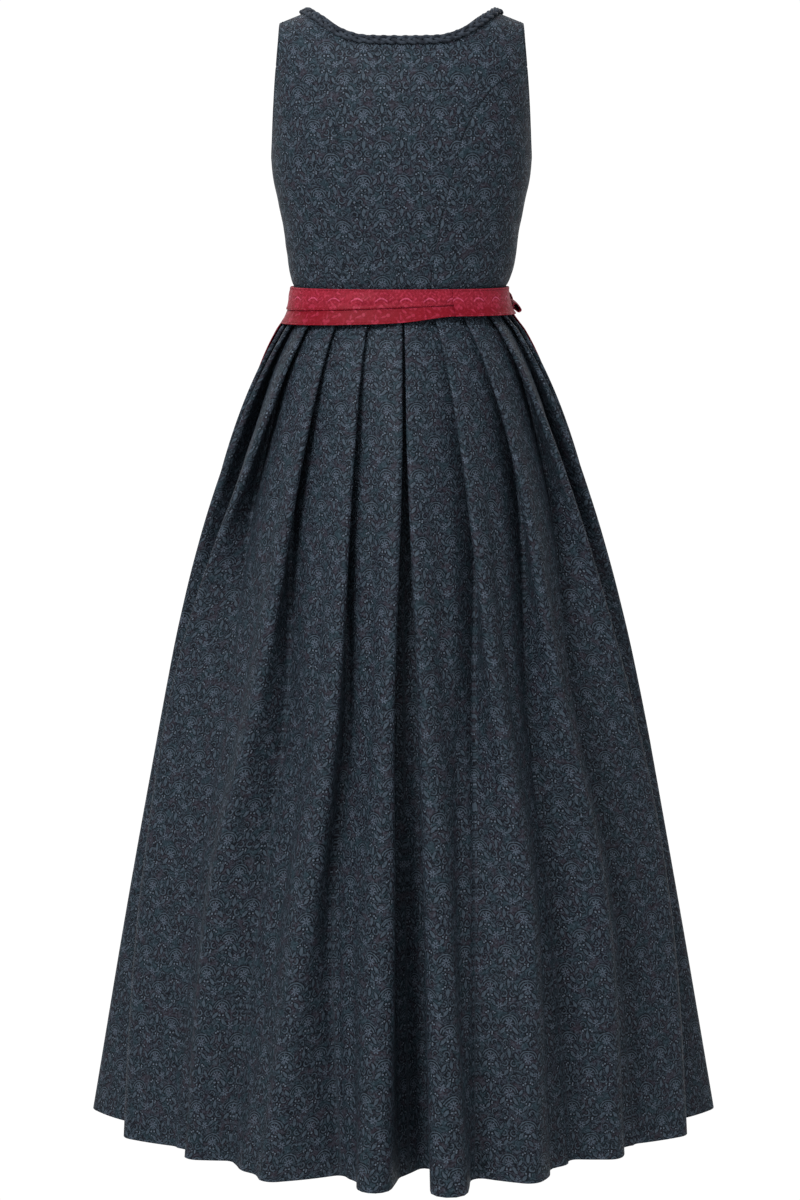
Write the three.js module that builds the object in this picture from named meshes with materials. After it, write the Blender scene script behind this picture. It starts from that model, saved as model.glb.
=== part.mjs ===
// A dirndl: a sleeveless bodice with a plaited neck trim, a long skirt in knife pleats, and an apron
// tied round the waist with a bow at the wearer's right side. It keeps the hollow shape it has when worn.
// Millimetres, +Z up. The wearer faces -Y and the wearer's left is +X.
// Heights in the tables count from the hem; the group then puts the origin between the shoulders.
// A turn is an angle round the garment: 0 at centre back, 90 at the wearer's left side, 180 at centre front.
import * as THREE from 'three';

const CLOTH = 1.3;
const PLEAT_CLOTH = 1.5;
const SEAM = 0.3;
const WAIST_EDGE = 985;
const YOKE = 1200;
const ORIGIN_HEIGHT = 1309;
const NECK_POINT = { x: 108, height: 1320 };
const SHOULDER_TIP_X = 143;
const SHOULDER_SLOPE = 0.4;
const RIGHT = -1;
const LEFT = 1;
const QUARTER = Math.PI / 2;

const rad = THREE.MathUtils.degToRad;
const mix = THREE.MathUtils.lerp;

const dress = new THREE.MeshStandardMaterial({ color: '#343b44', roughness: 0.78 });
const braid = new THREE.MeshStandardMaterial({ color: '#2a3038', roughness: 0.75 });
const red = new THREE.MeshStandardMaterial({ color: '#a23343', roughness: 0.5 });

// The row of a table just before a value, where rows run up or down in that key.
function rowBefore(table, key, at) {
  const rising = table[table.length - 1][key] > table[0][key];
  let i = 0;
  while (i < table.length - 2 && (rising ? at > table[i + 1][key] : at < table[i + 1][key])) i += 1;
  return i;
}

// A value between rows, along a smooth curve through them.
function smooth(table, key, at, column) {
  const i = rowBefore(table, key, at);
  const [a, b] = [table[i], table[i + 1]];
  const before = table[i - 1] ?? a;
  const after = table[i + 2] ?? b;
  const span = b[key] - a[key];
  const t = THREE.MathUtils.clamp((at - a[key]) / span, 0, 1);
  const slopeA = ((b[column] - before[column]) / (b[key] - before[key])) * span;
  const slopeB = ((after[column] - a[column]) / (after[key] - a[key])) * span;
  const [t2, t3] = [t * t, t * t * t];
  return (2 * t3 - 3 * t2 + 1) * a[column] + (t3 - 2 * t2 + t) * slopeA
    + (3 * t2 - 2 * t3) * b[column] + (t3 - t2) * slopeB;
}

// A value between rows along straight lines, for surfaces that have vertices at those rows.
function straight(table, key, at, column) {
  const i = rowBefore(table, key, at);
  const [a, b] = [table[i], table[i + 1]];
  return mix(a[column], b[column], (at - a[key]) / (b[key] - a[key]));
}

const sizeOf = (table, height, pick) => ({
  half: pick(table, 'height', height, 'half'),
  back: pick(table, 'height', height, 'back'),
  front: pick(table, 'height', height, 'front'),
  corner: pick(table, 'height', height, 'corner'),
});

// A level oval. corner is above 0 where the garment is squarer than an ellipse, below 0 where it is leaner.
function ovalPoint(size, turn) {
  const swell = 1 + size.corner * Math.sin(2 * turn) ** 2;
  const depth = Math.cos(turn) > 0 ? size.back : size.front;
  return new THREE.Vector2(size.half * Math.sin(turn) * swell, depth * Math.cos(turn) * swell);
}

function onOval(size, turn, out, height) {
  const step = 0.002;
  const along = ovalPoint(size, turn + step).sub(ovalPoint(size, turn - step)).normalize();
  const p = ovalPoint(size, turn);
  return new THREE.Vector3(p.x - along.y * out, p.y + along.x * out, height);
}

// The turn at which an oval reaches a distance x from the middle, in its back half.
function turnAtX(size, x) {
  let turn = 0;
  for (let i = 0; i < 30; i += 1) {
    const swell = 1 + size.corner * Math.sin(2 * turn) ** 2;
    turn = Math.asin(THREE.MathUtils.clamp(x / size.half / swell, -1, 1));
  }
  return turn;
}

// A geometry with its triangles turned round where they enclose a negative volume.
function facingOut(position, index) {
  const [a, b, c] = [new THREE.Vector3(), new THREE.Vector3(), new THREE.Vector3()];
  let volume = 0;
  for (let i = 0; i < index.length; i += 3) {
    a.fromArray(position, 3 * index[i]);
    b.fromArray(position, 3 * index[i + 1]);
    c.fromArray(position, 3 * index[i + 2]);
    volume += a.dot(b.cross(c));
  }
  const geometry = new THREE.BufferGeometry();
  geometry.setAttribute('position', new THREE.Float32BufferAttribute(position, 3));
  geometry.setIndex(volume > 0 ? index : index.reverse());
  geometry.computeVertexNormals();
  return geometry;
}

const flat = (...grids) => grids.flat(2).flatMap((p) => [p.x, p.y, p.z]);

// A cloth wall: a grid of outer points over a matching grid of inner points, closed round its four edges.
function wallGeometry(outer, inner) {
  const rows = outer.length;
  const columns = outer[0].length;
  const out = (row, column) => row * columns + column;
  const back = (row, column) => (rows + row) * columns + column;
  const index = [];
  const quad = (a, b, c, d) => index.push(a, b, c, a, c, d);
  for (let row = 0; row < rows - 1; row += 1) {
    for (let column = 0; column < columns - 1; column += 1) {
      quad(out(row, column), out(row, column + 1), out(row + 1, column + 1), out(row + 1, column));
      quad(back(row, column), back(row + 1, column), back(row + 1, column + 1), back(row, column + 1));
    }
    quad(out(row, 0), out(row + 1, 0), back(row + 1, 0), back(row, 0));
    const last = columns - 1;
    quad(out(row, last), back(row, last), back(row + 1, last), out(row + 1, last));
  }
  const top = rows - 1;
  for (let column = 0; column < columns - 1; column += 1) {
    quad(back(0, column), back(0, column + 1), out(0, column + 1), out(0, column));
    quad(out(top, column), out(top, column + 1), back(top, column + 1), back(top, column));
  }
  return facingOut(flat(outer, inner), index);
}

// A solid through rings of points, closed with a fan at both ends.
function ringGeometry(rings) {
  const sides = rings[0].length;
  const index = [];
  for (let ring = 0; ring < rings.length - 1; ring += 1) {
    for (let side = 0; side < sides; side += 1) {
      const [a, b] = [ring * sides + side, ring * sides + ((side + 1) % sides)];
      index.push(a, b, b + sides, a, b + sides, a + sides);
    }
  }
  const last = (rings.length - 1) * sides;
  for (let side = 1; side < sides - 1; side += 1) {
    index.push(0, side + 1, side);
    index.push(last, last + side, last + side + 1);
  }
  return facingOut(flat(rings), index);
}

// A tube through matching outer and inner rings, open at both ends.
function tubeGeometry(outer, inner) {
  const sides = outer[0].length;
  const rings = outer.length;
  const index = [];
  const quad = (a, b, c, d) => index.push(a, b, c, a, c, d);
  const at = (skin, ring, side) => (skin * rings + ring) * sides + (side % sides);
  for (let side = 0; side < sides; side += 1) {
    for (let ring = 0; ring < rings - 1; ring += 1) {
      quad(at(0, ring, side), at(0, ring, side + 1), at(0, ring + 1, side + 1), at(0, ring + 1, side));
      quad(at(1, ring, side), at(1, ring + 1, side), at(1, ring + 1, side + 1), at(1, ring, side + 1));
    }
    quad(at(1, 0, side), at(1, 0, side + 1), at(0, 0, side + 1), at(0, 0, side));
    const end = rings - 1;
    quad(at(0, end, side), at(0, end, side + 1), at(1, end, side + 1), at(1, end, side));
  }
  return facingOut(flat(outer, inner), index);
}

// Moves p towards q so that it stands half a seam away from an edge that runs along the given direction.
function movedIn(p, q, along) {
  const towards = q.clone().sub(p).normalize();
  const slant = Math.max(towards.clone().cross(along.clone().normalize()).length(), 0.35);
  return p.clone().addScaledVector(towards, SEAM / 2 / slant);
}

// A grid of points with each of its four edges moved in by half a seam gap.
function trimmed(grid) {
  const rows = grid.length - 1;
  const columns = grid[0].length - 1;
  const result = grid.map((row) => row.map((p) => p.clone()));
  for (let row = 0; row <= rows; row += 1) {
    const [down, up] = [grid[Math.max(row - 1, 0)], grid[Math.min(row + 1, rows)]];
    result[row][0] = movedIn(grid[row][0], grid[row][1], up[0].clone().sub(down[0]));
    result[row][columns] = movedIn(
      grid[row][columns],
      grid[row][columns - 1],
      up[columns].clone().sub(down[columns]),
    );
  }
  const sides = result.map((row) => row.map((p) => p.clone()));
  for (let column = 0; column <= columns; column += 1) {
    for (const [edge, next] of [[0, 1], [rows, rows - 1]]) {
      const before = sides[edge][Math.max(column - 1, 0)];
      const after = sides[edge][Math.min(column + 1, columns)];
      result[edge][column] = movedIn(sides[edge][column], sides[next][column], after.clone().sub(before));
    }
  }
  return result;
}

// How the rows of a bodice panel crowd towards its bottom edge, which is the straight one.
const ROW_CROWDING = 2.2;

// Bodice. The outer surface is a row of level ovals up to the yoke and then closes over the shoulders.
const bodiceSizes = [
  { height: 985, half: 124.5, back: 88, front: 87, corner: 0.04 },
  { height: 997, half: 124.3, back: 88.2, front: 87.8, corner: 0.04 },
  { height: 1003, half: 127.6, back: 89.7, front: 89.8, corner: 0.04 },
  { height: 1018, half: 132.6, back: 92, front: 94.5, corner: 0.04 },
  { height: 1036, half: 135.8, back: 94, front: 101, corner: 0.04 },
  { height: 1055, half: 138, back: 96.5, front: 108, corner: 0.045 },
  { height: 1075, half: 141.4, back: 99.5, front: 116, corner: 0.045 },
  { height: 1100, half: 146.2, back: 103, front: 124, corner: 0.05 },
  { height: 1125, half: 151.6, back: 105.5, front: 128, corner: 0.05 },
  { height: 1150, half: 153.8, back: 107, front: 127, corner: 0.05 },
  { height: 1175, half: 154, back: 108, front: 123, corner: 0.05 },
  { height: 1200, half: 154, back: 107, front: 116, corner: 0.05 },
];

// The top line of the shoulders, as a height over a place x.
function shoulderRidge(x) {
  const beyond = Math.abs(x) - NECK_POINT.x;
  const inside = (NECK_POINT.x ** 2 - x ** 2) / (2 * NECK_POINT.x);
  return NECK_POINT.height + SHOULDER_SLOPE * (beyond > 0 ? -beyond : inside);
}

// A point of the bodice. rise is 0 at the waist seam, 1 at the yoke and 2 on top of the shoulder.
function bodiceSurface(turn, rise) {
  const height = mix(WAIST_EDGE, YOKE, Math.min(rise, 1));
  const p = ovalPoint(sizeOf(bodiceSizes, height, smooth), turn);
  const over = THREE.MathUtils.clamp(rise - 1, 0, 1) * QUARTER;
  const top = shoulderRidge(p.x) - YOKE;
  return new THREE.Vector3(p.x, p.y * Math.cos(over), height + top * Math.sin(over));
}

function bodiceNormal(turn, rise) {
  const step = 0.003;
  const [low, high] = [Math.max(rise - step, 0), Math.min(rise + step, 2)];
  const up = bodiceSurface(turn, high).sub(bodiceSurface(turn, low));
  const round = bodiceSurface(turn + step, rise).sub(bodiceSurface(turn - step, rise));
  return up.cross(round).normalize();
}

function bodicePoint(turn, rise, out) {
  return bodiceSurface(turn, rise).addScaledVector(bodiceNormal(turn, rise), out);
}

function riseAt(height, x) {
  if (height <= YOKE) return (height - WAIST_EDGE) / (YOKE - WAIST_EDGE);
  return 1 + Math.asin(Math.min((height - YOKE) / (shoulderRidge(x) - YOKE), 1)) / QUARTER;
}

// Seams and edges of the left half, by height and distance from the middle.
const backPrincess = [
  { height: 985, x: 35 },
  { height: 998, x: 35.2 },
  { height: 1018, x: 36.2 },
  { height: 1050, x: 41 },
  { height: 1080, x: 47 },
  { height: 1110, x: 54.5 },
  { height: 1140, x: 62.5 },
  { height: 1168, x: 69.5 },
  { height: 1192, x: 80 },
  { height: 1214, x: 94 },
  { height: 1236, x: 115 },
  { height: 1254, x: 146.8 },
];
const backArmhole = [
  { height: 1254, x: 146.8 },
  { height: 1272, x: 145.4 },
  { height: 1290, x: 144.1 },
  { height: 1302, x: SHOULDER_TIP_X },
];
const backUnderarm = [
  { height: 1254, x: 146.8 },
  { height: 1230, x: 148.9 },
  { height: 1205, x: 150.6 },
  { height: 1182, x: 151.9 },
  { height: 1160, x: 153.2 },
  { height: 1148, x: 160 },
];
const sideSeam = [985, 998, 1018, 1034, 1050, 1066, 1082, 1098, 1112, 1125, 1137, 1148];
const frontUnderarm = [
  { height: 1215, x: 138.5 },
  { height: 1195, x: 141.4 },
  { height: 1176, x: 145.5 },
  { height: 1160, x: 150.5 },
  { height: 1148, x: 160 },
];
const frontPrincess = [
  { height: 985, x: 50 },
  { height: 998, x: 50.5 },
  { height: 1018, x: 53.5 },
  { height: 1045, x: 62 },
  { height: 1075, x: 72 },
  { height: 1105, x: 80.5 },
  { height: 1130, x: 85.5 },
  { height: 1155, x: 90 },
  { height: 1175, x: 96.5 },
  { height: 1195, x: 107 },
  { height: 1208, x: 121 },
  { height: 1215, x: 138.5 },
];
const frontArmhole = [
  { height: 1215, x: 138.5 },
  { height: 1237, x: 138.6 },
  { height: 1260, x: 139.8 },
  { height: 1282, x: 141.5 },
  { height: 1302, x: SHOULDER_TIP_X },
];
const backNeck = [
  NECK_POINT,
  { x: 100, height: 1317.5 },
  { x: 88, height: 1310 },
  { x: 72, height: 1298.5 },
  { x: 50, height: 1290 },
  { x: 26, height: 1288 },
  { x: 0, height: 1287.5 },
];
const frontNeck = [
  { x: 0, height: 1166 },
  { x: 24, height: 1167.5 },
  { x: 46, height: 1172 },
  { x: 66, height: 1181 },
  { x: 80, height: 1196 },
  { x: 88, height: 1216 },
  { x: 94, height: 1240 },
  { x: 101, height: 1272 },
  NECK_POINT,
];
const frontEdge = [985, 998, 1018, 1045, 1076, 1107, 1137, 1166];

const place = (turn, rise) => ({ turn, rise });
const backPlace = ({ x, height }) => {
  const size = sizeOf(bodiceSizes, Math.min(height, YOKE), smooth);
  const turn = x > size.half ? QUARTER : turnAtX(size, x);
  return place(turn, riseAt(height, x));
};
const frontPlace = (row) => place(Math.PI - backPlace(row).turn, backPlace(row).rise);
const strapTop = (where, steps) => Array.from({ length: steps + 1 }, (_, i) => {
  const x = mix(SHOULDER_TIP_X, NECK_POINT.x, i / steps);
  return place(where({ x, height: YOKE }).turn, 2);
});
const toRidge = (path) => path.map((p, i) => (i === path.length - 1 ? place(p.turn, 2) : p));
const sideways = (from, to, steps) => Array.from({ length: steps + 1 }, (_, i) => place(
  mix(from.turn, to.turn, i / steps),
  mix(from.rise, to.rise, i / steps),
));
const onSide = (side, path) => path.map((p) => place(side * p.turn, p.rise));

// A panel between four edges. bottom and top run the same way; so do start and end, from the waist up.
function bodicePanel(bottom, top, start, end) {
  const rows = start.length - 1;
  const columns = bottom.length - 1;
  const grid = (out) => start.map((_, row) => bottom.map((__, column) => {
    const u = column / columns;
    const v = (row / rows) ** ROW_CROWDING;
    const [turn, rise] = ['turn', 'rise'].map((key) => (1 - v) * bottom[column][key] + v * top[column][key]
      + (1 - u) * start[row][key] + u * end[row][key]
      - (1 - u) * ((1 - v) * bottom[0][key] + v * top[0][key])
      - u * ((1 - v) * bottom[columns][key] + v * top[columns][key]));
    return bodicePoint(turn, rise, out);
  }));
  return wallGeometry(trimmed(grid(0)), trimmed(grid(-CLOTH)));
}

const sidePath = sideSeam.map((height) => place(QUARTER, riseAt(height, 0)));

function backCentreGeometry() {
  const half = [...strapTop(backPlace, 2), ...backNeck.slice(1).map(backPlace)];
  const otherHalf = onSide(RIGHT, half).reverse();
  const edge = [...backPrincess.map(backPlace), ...toRidge(backArmhole.map(backPlace)).slice(1)];
  const otherEdge = onSide(RIGHT, edge);
  const top = [...half, ...otherHalf.slice(1)];
  return bodicePanel(sideways(edge[0], otherEdge[0], top.length - 1), top, edge, otherEdge);
}

function sidePanelGeometry(side, princess, underarm) {
  const bottom = sideways(princess[0], sidePath[0], underarm.length - 1);
  return bodicePanel(...[bottom, underarm, princess, sidePath].map((path) => onSide(side, path)));
}

function frontGeometry(side) {
  const columns = 6;
  const outer = [...frontPrincess.map(frontPlace), ...toRidge(frontArmhole.map(frontPlace)).slice(1)];
  const neck = toRidge(frontNeck.map(frontPlace));
  const inner = [...frontEdge.map((height) => place(Math.PI, riseAt(height, 0))), ...neck.slice(1)];
  const bottom = sideways(outer[0], inner[0], columns);
  const top = strapTop(frontPlace, columns);
  return bodicePanel(...[bottom, top, outer, inner].map((path) => onSide(side, path)));
}

// The plaited trim lies on the bodice along the neckline, from centre front round the back to centre front.
const braidStep = 5.5;
const braidSection = [
  { across: 0.8, above: 0.6 },
  { across: 11.5, above: 0.9 },
  { across: 11.2, above: 2.2 },
  { across: 8.3, above: 3.2, swell: 0.5 },
  { across: 4.0, above: 3.2, swell: -0.5 },
  { across: 1.1, above: 2.0 },
];

function braidGeometry() {
  const runs = [toRidge(frontNeck.map(frontPlace)), toRidge(backNeck.map(backPlace).reverse())];
  const [frontLeft, backLeft] = runs.map((path) => {
    const curve = new THREE.CatmullRomCurve3(path.map((p) => new THREE.Vector3(p.turn, p.rise, 0)));
    return curve.getPoints(240).map((q) => place(q.x, Math.min(q.y, 2)));
  });
  const left = [...frontLeft, ...backLeft.reverse().slice(1)];
  const fine = [...left, ...onSide(RIGHT, left).reverse().slice(1)].map(({ turn, rise }) => ({
    point: bodiceSurface(turn, rise),
    normal: bodiceNormal(turn, Math.min(rise, 1.99)),
  }));
  const length = [0];
  for (let i = 1; i < fine.length; i += 1) {
    length.push(length[i - 1] + fine[i].point.distanceTo(fine[i - 1].point));
  }
  const whole = length[length.length - 1];
  const steps = Math.round(whole / braidStep);
  const rings = [];
  for (let step = 0; step <= steps; step += 1) {
    const goal = THREE.MathUtils.clamp((whole * step) / steps, 0.3, whole - 0.3);
    let i = 1;
    while (i < length.length - 1 && length[i] < goal) i += 1;
    const t = (goal - length[i - 1]) / (length[i] - length[i - 1]);
    const point = fine[i - 1].point.clone().lerp(fine[i].point, t);
    const normal = fine[i - 1].normal.clone().lerp(fine[i].normal, t).normalize();
    const along = fine[i].point.clone().sub(fine[i - 1].point).normalize();
    const inward = along.clone().cross(normal).normalize();
    rings.push(braidSection.map(({ across, above, swell = 0 }) => point.clone()
      .addScaledVector(inward, across)
      .addScaledVector(normal, above + swell * (step % 2 ? 1 : -1))));
  }
  return ringGeometry(rings);
}

// Skirt. Each level section is one strip of cloth that runs round pegs: over a peg at the fold edge of every
// pleat (crest) and round one behind it (valley). Crest pegs touch the outer oval of the section.
const skirtSizes = [
  { height: WAIST_EDGE, half: 124.5, back: 88, front: 87, corner: 0.04 },
  { height: 964, half: 132.5, back: 93.5, front: 92, corner: 0.04 },
  { height: 946, half: 146, back: 104.5, front: 103, corner: 0.03 },
  { height: 905, half: 169, back: 129, front: 125, corner: 0.01 },
  { height: 850, half: 193.5, back: 156, front: 149, corner: -0.01 },
  { height: 780, half: 218.5, back: 182, front: 173, corner: -0.02 },
  { height: 690, half: 245, back: 209, front: 199, corner: -0.03 },
  { height: 560, half: 276.5, back: 238, front: 229, corner: -0.04 },
  { height: 400, half: 308.5, back: 271, front: 263, corner: -0.045 },
  { height: 220, half: 342.5, back: 306, front: 298, corner: -0.05 },
  { height: 0, half: 381, back: 343, front: 335, corner: -0.05 },
];
const pleatRows = [
  { height: 985, depth: 11.5, crestRadius: 1.8, valleyRadius: 1.8 },
  { height: 905, depth: 20, crestRadius: 2.6, valleyRadius: 2.4 },
  { height: 820, depth: 33, crestRadius: 4.2, valleyRadius: 3.2 },
  { height: 540, depth: 44, crestRadius: 9, valleyRadius: 6 },
  { height: 300, depth: 44, crestRadius: 16, valleyRadius: 11 },
  { height: 0, depth: 44, crestRadius: 21, valleyRadius: 15 },
];
const foldHeights = { waist: 985, hip: 820, thigh: 540, calf: 300, hem: 0 };

// Turns of the fold edges, from centre back to the front.
const leftCrests = [
  { waist: 0.5, hip: 1, thigh: 3.5, calf: 4.2, hem: 4.9 },
  { waist: 17.8, hip: 16.8, thigh: 17, calf: 21, hem: 25 },
  { waist: 33.5, hip: 35.5, thigh: 39, calf: 46, hem: 46.5 },
  { waist: 49.5, hip: 58.5, thigh: 76, calf: 75, hem: 67 },
  { waist: 66.5, hip: 78, thigh: 92, calf: 93, hem: 89.5 },
  { waist: 87, hip: 95, thigh: 108, calf: 109, hem: 108 },
  { waist: 108, hip: 113, thigh: 124, calf: 125.5, hem: 126 },
  { waist: 130, hip: 134, thigh: 141, calf: 142, hem: 144 },
  { waist: 153, hip: 156, thigh: 160, calf: 160, hem: 162 },
];
const rightCrests = [
  { waist: 2.3, hip: 3, thigh: 5.8, calf: 7.5, hem: 8 },
  { waist: 17.8, hip: 21, thigh: 24, calf: 27, hem: 24 },
  { waist: 33, hip: 40.7, thigh: 43, calf: 49, hem: 47 },
  { waist: 50.5, hip: 62, thigh: 72, calf: 77, hem: 69 },
  { waist: 67, hip: 79, thigh: 91, calf: 94, hem: 90 },
  ...leftCrests.slice(5),
];
// Turns of the valleys, how far they lie behind the oval, and how far the fold edge stands out at the hem.
const leftValleys = [
  { thigh: 1.5, calf: 0, hem: -1.5, calfDepth: 52, hemDepth: 60, hemOut: 3 },
  { thigh: 15, calf: 16, hem: 12.8, calfDepth: 45, hemDepth: 52, hemOut: -3 },
  { thigh: 34.5, calf: 36, hem: 38.5, calfDepth: 42, hemDepth: 44, hemOut: -20 },
  { thigh: 60, calf: 60, hem: 55, calfDepth: 44, hemDepth: 42, hemOut: -13 },
  { thigh: 83.5, calf: 84, hem: 77, calfDepth: 42, hemDepth: 40, hemOut: 0 },
  { thigh: 99.5, calf: 100.5, hem: 98.5, calfDepth: 42, hemDepth: 45, hemOut: 0 },
  { thigh: 115.5, calf: 116.5, hem: 117, calfDepth: 42, hemDepth: 45, hemOut: 0 },
  { thigh: 132, calf: 133, hem: 135, calfDepth: 42, hemDepth: 45, hemOut: 0 },
  { thigh: 150, calf: 150.5, hem: 153, calfDepth: 42, hemDepth: 45, hemOut: 0 },
];
const rightValleys = [
  { thigh: 3.8, calf: 4.5, hem: 5.2, calfDepth: 66, hemDepth: 84, hemOut: 20 },
  { thigh: 20.5, calf: 17.3, hem: 15, calfDepth: 36, hemDepth: 38, hemOut: 0 },
  { thigh: 38.5, calf: 39.4, hem: 38.5, calfDepth: 48, hemDepth: 50, hemOut: -20 },
  { thigh: 57, calf: 61, hem: 57, calfDepth: 42, hemDepth: 44, hemOut: -13 },
  { thigh: 81.5, calf: 85.5, hem: 78.5, calfDepth: 42, hemDepth: 42, hemOut: 0 },
  ...leftValleys.slice(5),
];

function columnTable(row) {
  return Object.entries(foldHeights).map(([name, height]) => ({ height, value: row[name] }));
}

// The pegs of one half of a section, from centre back to centre front.
function halfPegs(crests, valleys, height) {
  const at = (row) => smooth(columnTable(row), 'height', height, 'value');
  const common = (key) => smooth(pleatRows, 'height', height, key);
  return crests.map((crest, i) => {
    const next = crests[i + 1] ?? { waist: LAST_TURN, hip: LAST_TURN };
    const under = {
      ...valleys[i],
      waist: mix(crest.waist, next.waist, 0.5),
      hip: mix(crest.hip, next.hip, HIP_VALLEY),
    };
    const low = THREE.MathUtils.clamp(1 - height / foldHeights.thigh, 0, 1);
    const depths = [
      { height: foldHeights.thigh, value: common('depth') },
      { height: foldHeights.calf, value: valleys[i].calfDepth },
      { height: foldHeights.hem, value: valleys[i].hemDepth },
    ];
    return {
      crest: { turn: rad(at(crest)), out: valleys[i].hemOut * low * low, radius: common('crestRadius') },
      valley: {
        turn: rad(at(under)),
        out: -(height >= foldHeights.thigh ? common('depth') : smooth(depths, 'height', height, 'value')),
        radius: common('valleyRadius'),
      },
    };
  });
}

// Distances round an oval by turn, measured from centre back.
function ovalRuler(size) {
  const steps = 1440;
  const lengths = [0];
  for (let i = 1; i <= steps; i += 1) {
    const [a, b] = [i - 1, i].map((k) => ovalPoint(size, (Math.PI * k) / steps));
    lengths.push(lengths[i - 1] + a.distanceTo(b));
  }
  return {
    half: lengths[steps],
    distance: (turn) => {
      const k = (Math.abs(turn) / Math.PI) * steps;
      const i = Math.min(Math.floor(k), steps - 1);
      return Math.sign(turn) * mix(lengths[i], lengths[i + 1], k - i);
    },
    turn: (distance) => {
      const goal = Math.abs(distance);
      let [low, high] = [0, steps];
      while (high - low > 1) {
        const middle = (low + high) >> 1;
        if (lengths[middle] <= goal) low = middle;
        else high = middle;
      }
      const t = (goal - lengths[low]) / (lengths[high] - lengths[low]);
      return (Math.sign(distance) * Math.PI * (low + t)) / steps;
    },
  };
}

const CREST_STEPS = 2;
const VALLEY_STEPS = 2;
const legSteps = { face: 2, back: 2, underlay: 2, front: 6 };
const SIDE_FOLD = 4;
const LAST_TURN = 172;
const HIP_VALLEY = 0.3;

// The cloth's middle line at one height, as stations with a place, an outward distance and a heading.
function skirtSection(height) {
  const size = sizeOf(skirtSizes, height, straight);
  const ruler = ovalRuler(size);
  const half = PLEAT_CLOTH / 2;
  const peg = (side, kind, { turn, out, radius }, fold) => ({
    kind,
    side,
    fold,
    sense: kind === 'crest' ? -1 : 1,
    radius,
    at: new THREE.Vector2(
      ruler.distance(side * turn),
      kind === 'crest' ? out - radius - half : out + radius + half,
    ),
  });
  const right = halfPegs(rightCrests, rightValleys, height)
    .map(({ crest, valley }, i) => [peg(RIGHT, 'valley', valley, i), peg(RIGHT, 'crest', crest, i)]).flat();
  const left = halfPegs(leftCrests, leftValleys, height)
    .map(({ crest, valley }, i) => [peg(LEFT, 'valley', valley, i), peg(LEFT, 'crest', crest, i)]).flat();
  const pegs = [...right.reverse(), ...left];
  const round = 2 * ruler.half;
  const legs = pegs.map((a, i) => {
    const b = pegs[(i + 1) % pegs.length];
    const shift = i === pegs.length - 1 ? round : 0;
    const between = new THREE.Vector2(b.at.x + shift - a.at.x, b.at.y - a.at.y);
    const cross = (a.sense * a.radius - b.sense * b.radius) / between.length();
    if (Math.abs(cross) >= 1) throw new Error(`pegs touch at height ${height}, ${a.kind} ${a.fold}`);
    const kind = a.kind === b.kind ? (a.kind === 'valley' ? 'underlay' : 'front')
      : (a.fold === b.fold ? 'back' : 'face');
    return { heading: Math.atan2(between.y, between.x) + Math.asin(cross), kind, fold: a.fold, side: a.side };
  });
  const touch = (a, heading, shift = 0) => ({
    s: a.at.x + shift + a.sense * a.radius * Math.sin(heading),
    out: a.at.y - a.sense * a.radius * Math.cos(heading),
    heading,
  });
  const legStations = (i) => {
    const [a, b] = [pegs[i], pegs[(i + 1) % pegs.length]];
    const { heading, kind, fold } = legs[i];
    const from = touch(a, heading);
    const to = touch(b, heading, i === pegs.length - 1 ? round : 0);
    const steps = legSteps[kind];
    return Array.from({ length: steps - 1 }, (_, k) => ({
      s: mix(from.s, to.s, (k + 1) / steps),
      out: mix(from.out, to.out, (k + 1) / steps),
      heading,
      seam: k + 1 === steps / 2 && kind !== 'face' && (kind !== 'back' || fold === SIDE_FOLD),
    }));
  };
  const stations = pegs.flatMap((a, i) => {
    const [before, after] = [legs[(i + legs.length - 1) % legs.length].heading, legs[i].heading];
    const steps = a.kind === 'crest' ? CREST_STEPS : VALLEY_STEPS;
    const arc = Array.from({ length: steps + 1 }, (_, k) => touch(a, mix(before, after, k / steps)));
    return [...arc, ...legStations(i)];
  });
  const middle = stations.length - legSteps.front / 2;
  const back = (station) => ({ ...station, s: station.s - round });
  const ordered = [...stations.slice(middle).map(back), ...stations.slice(0, middle + 1)];
  return { size, ruler, height, stations: ordered };
}

function skirtPoint({ size, ruler, height }, { s, out, heading }, off) {
  const [along, away] = [s - off * Math.sin(heading), out + off * Math.cos(heading)];
  const wrapped = Math.abs(along) > ruler.half ? along - Math.sign(along) * 2 * ruler.half : along;
  return onOval(size, ruler.turn(wrapped), away, height);
}

// Panels of the skirt between two of its four seams, counted from centre front round the right side.
function skirtGeometries() {
  const sections = skirtSizes.map(({ height }) => skirtSection(height));
  const cuts = sections[0].stations.flatMap(({ seam }, i) => (seam ? [i] : []));
  return [0, 1, 2, 3].map((k) => {
    const skin = (off) => trimmed(sections.map((section) => section.stations
      .slice(cuts[k], cuts[k + 1] + 1)
      .map((station) => skirtPoint(section, station, off))));
    return wallGeometry(skin(PLEAT_CLOTH / 2), skin(-PLEAT_CLOTH / 2));
  });
}

// Apron band and ties: strips round the waist in two layers. The table is the inner face of the first layer.
const waistSizes = [
  { height: 999, half: 125.9, back: 89.3, front: 89.1, corner: 0.042, slant: 1 },
  { height: 985, half: 127.6, back: 91.2, front: 90.2, corner: 0.045, slant: 1.02 },
  { height: 970, half: 132.2, back: 94.8, front: 93.3, corner: 0.045, slant: 1.1 },
  { height: 953, half: 142.2, back: 103.2, front: 101.2, corner: 0.04, slant: 1.18 },
];
const STRIP_STEP = 9;
const TIE_CLOTH = 1.2;
const LAYER = 1.6;
const tieTop = 998;
const bandBottom = [
  { turn: -108, height: 966 },
  { turn: -27, height: 967 },
  { turn: 0, height: 960 },
  { turn: 30, height: 957 },
  { turn: 60, height: 955.5 },
  { turn: 90, height: 955.5 },
  { turn: 120, height: 962 },
  { turn: 150, height: 966 },
  { turn: 252, height: 966 },
  { turn: 333, height: 967 },
];
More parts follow.
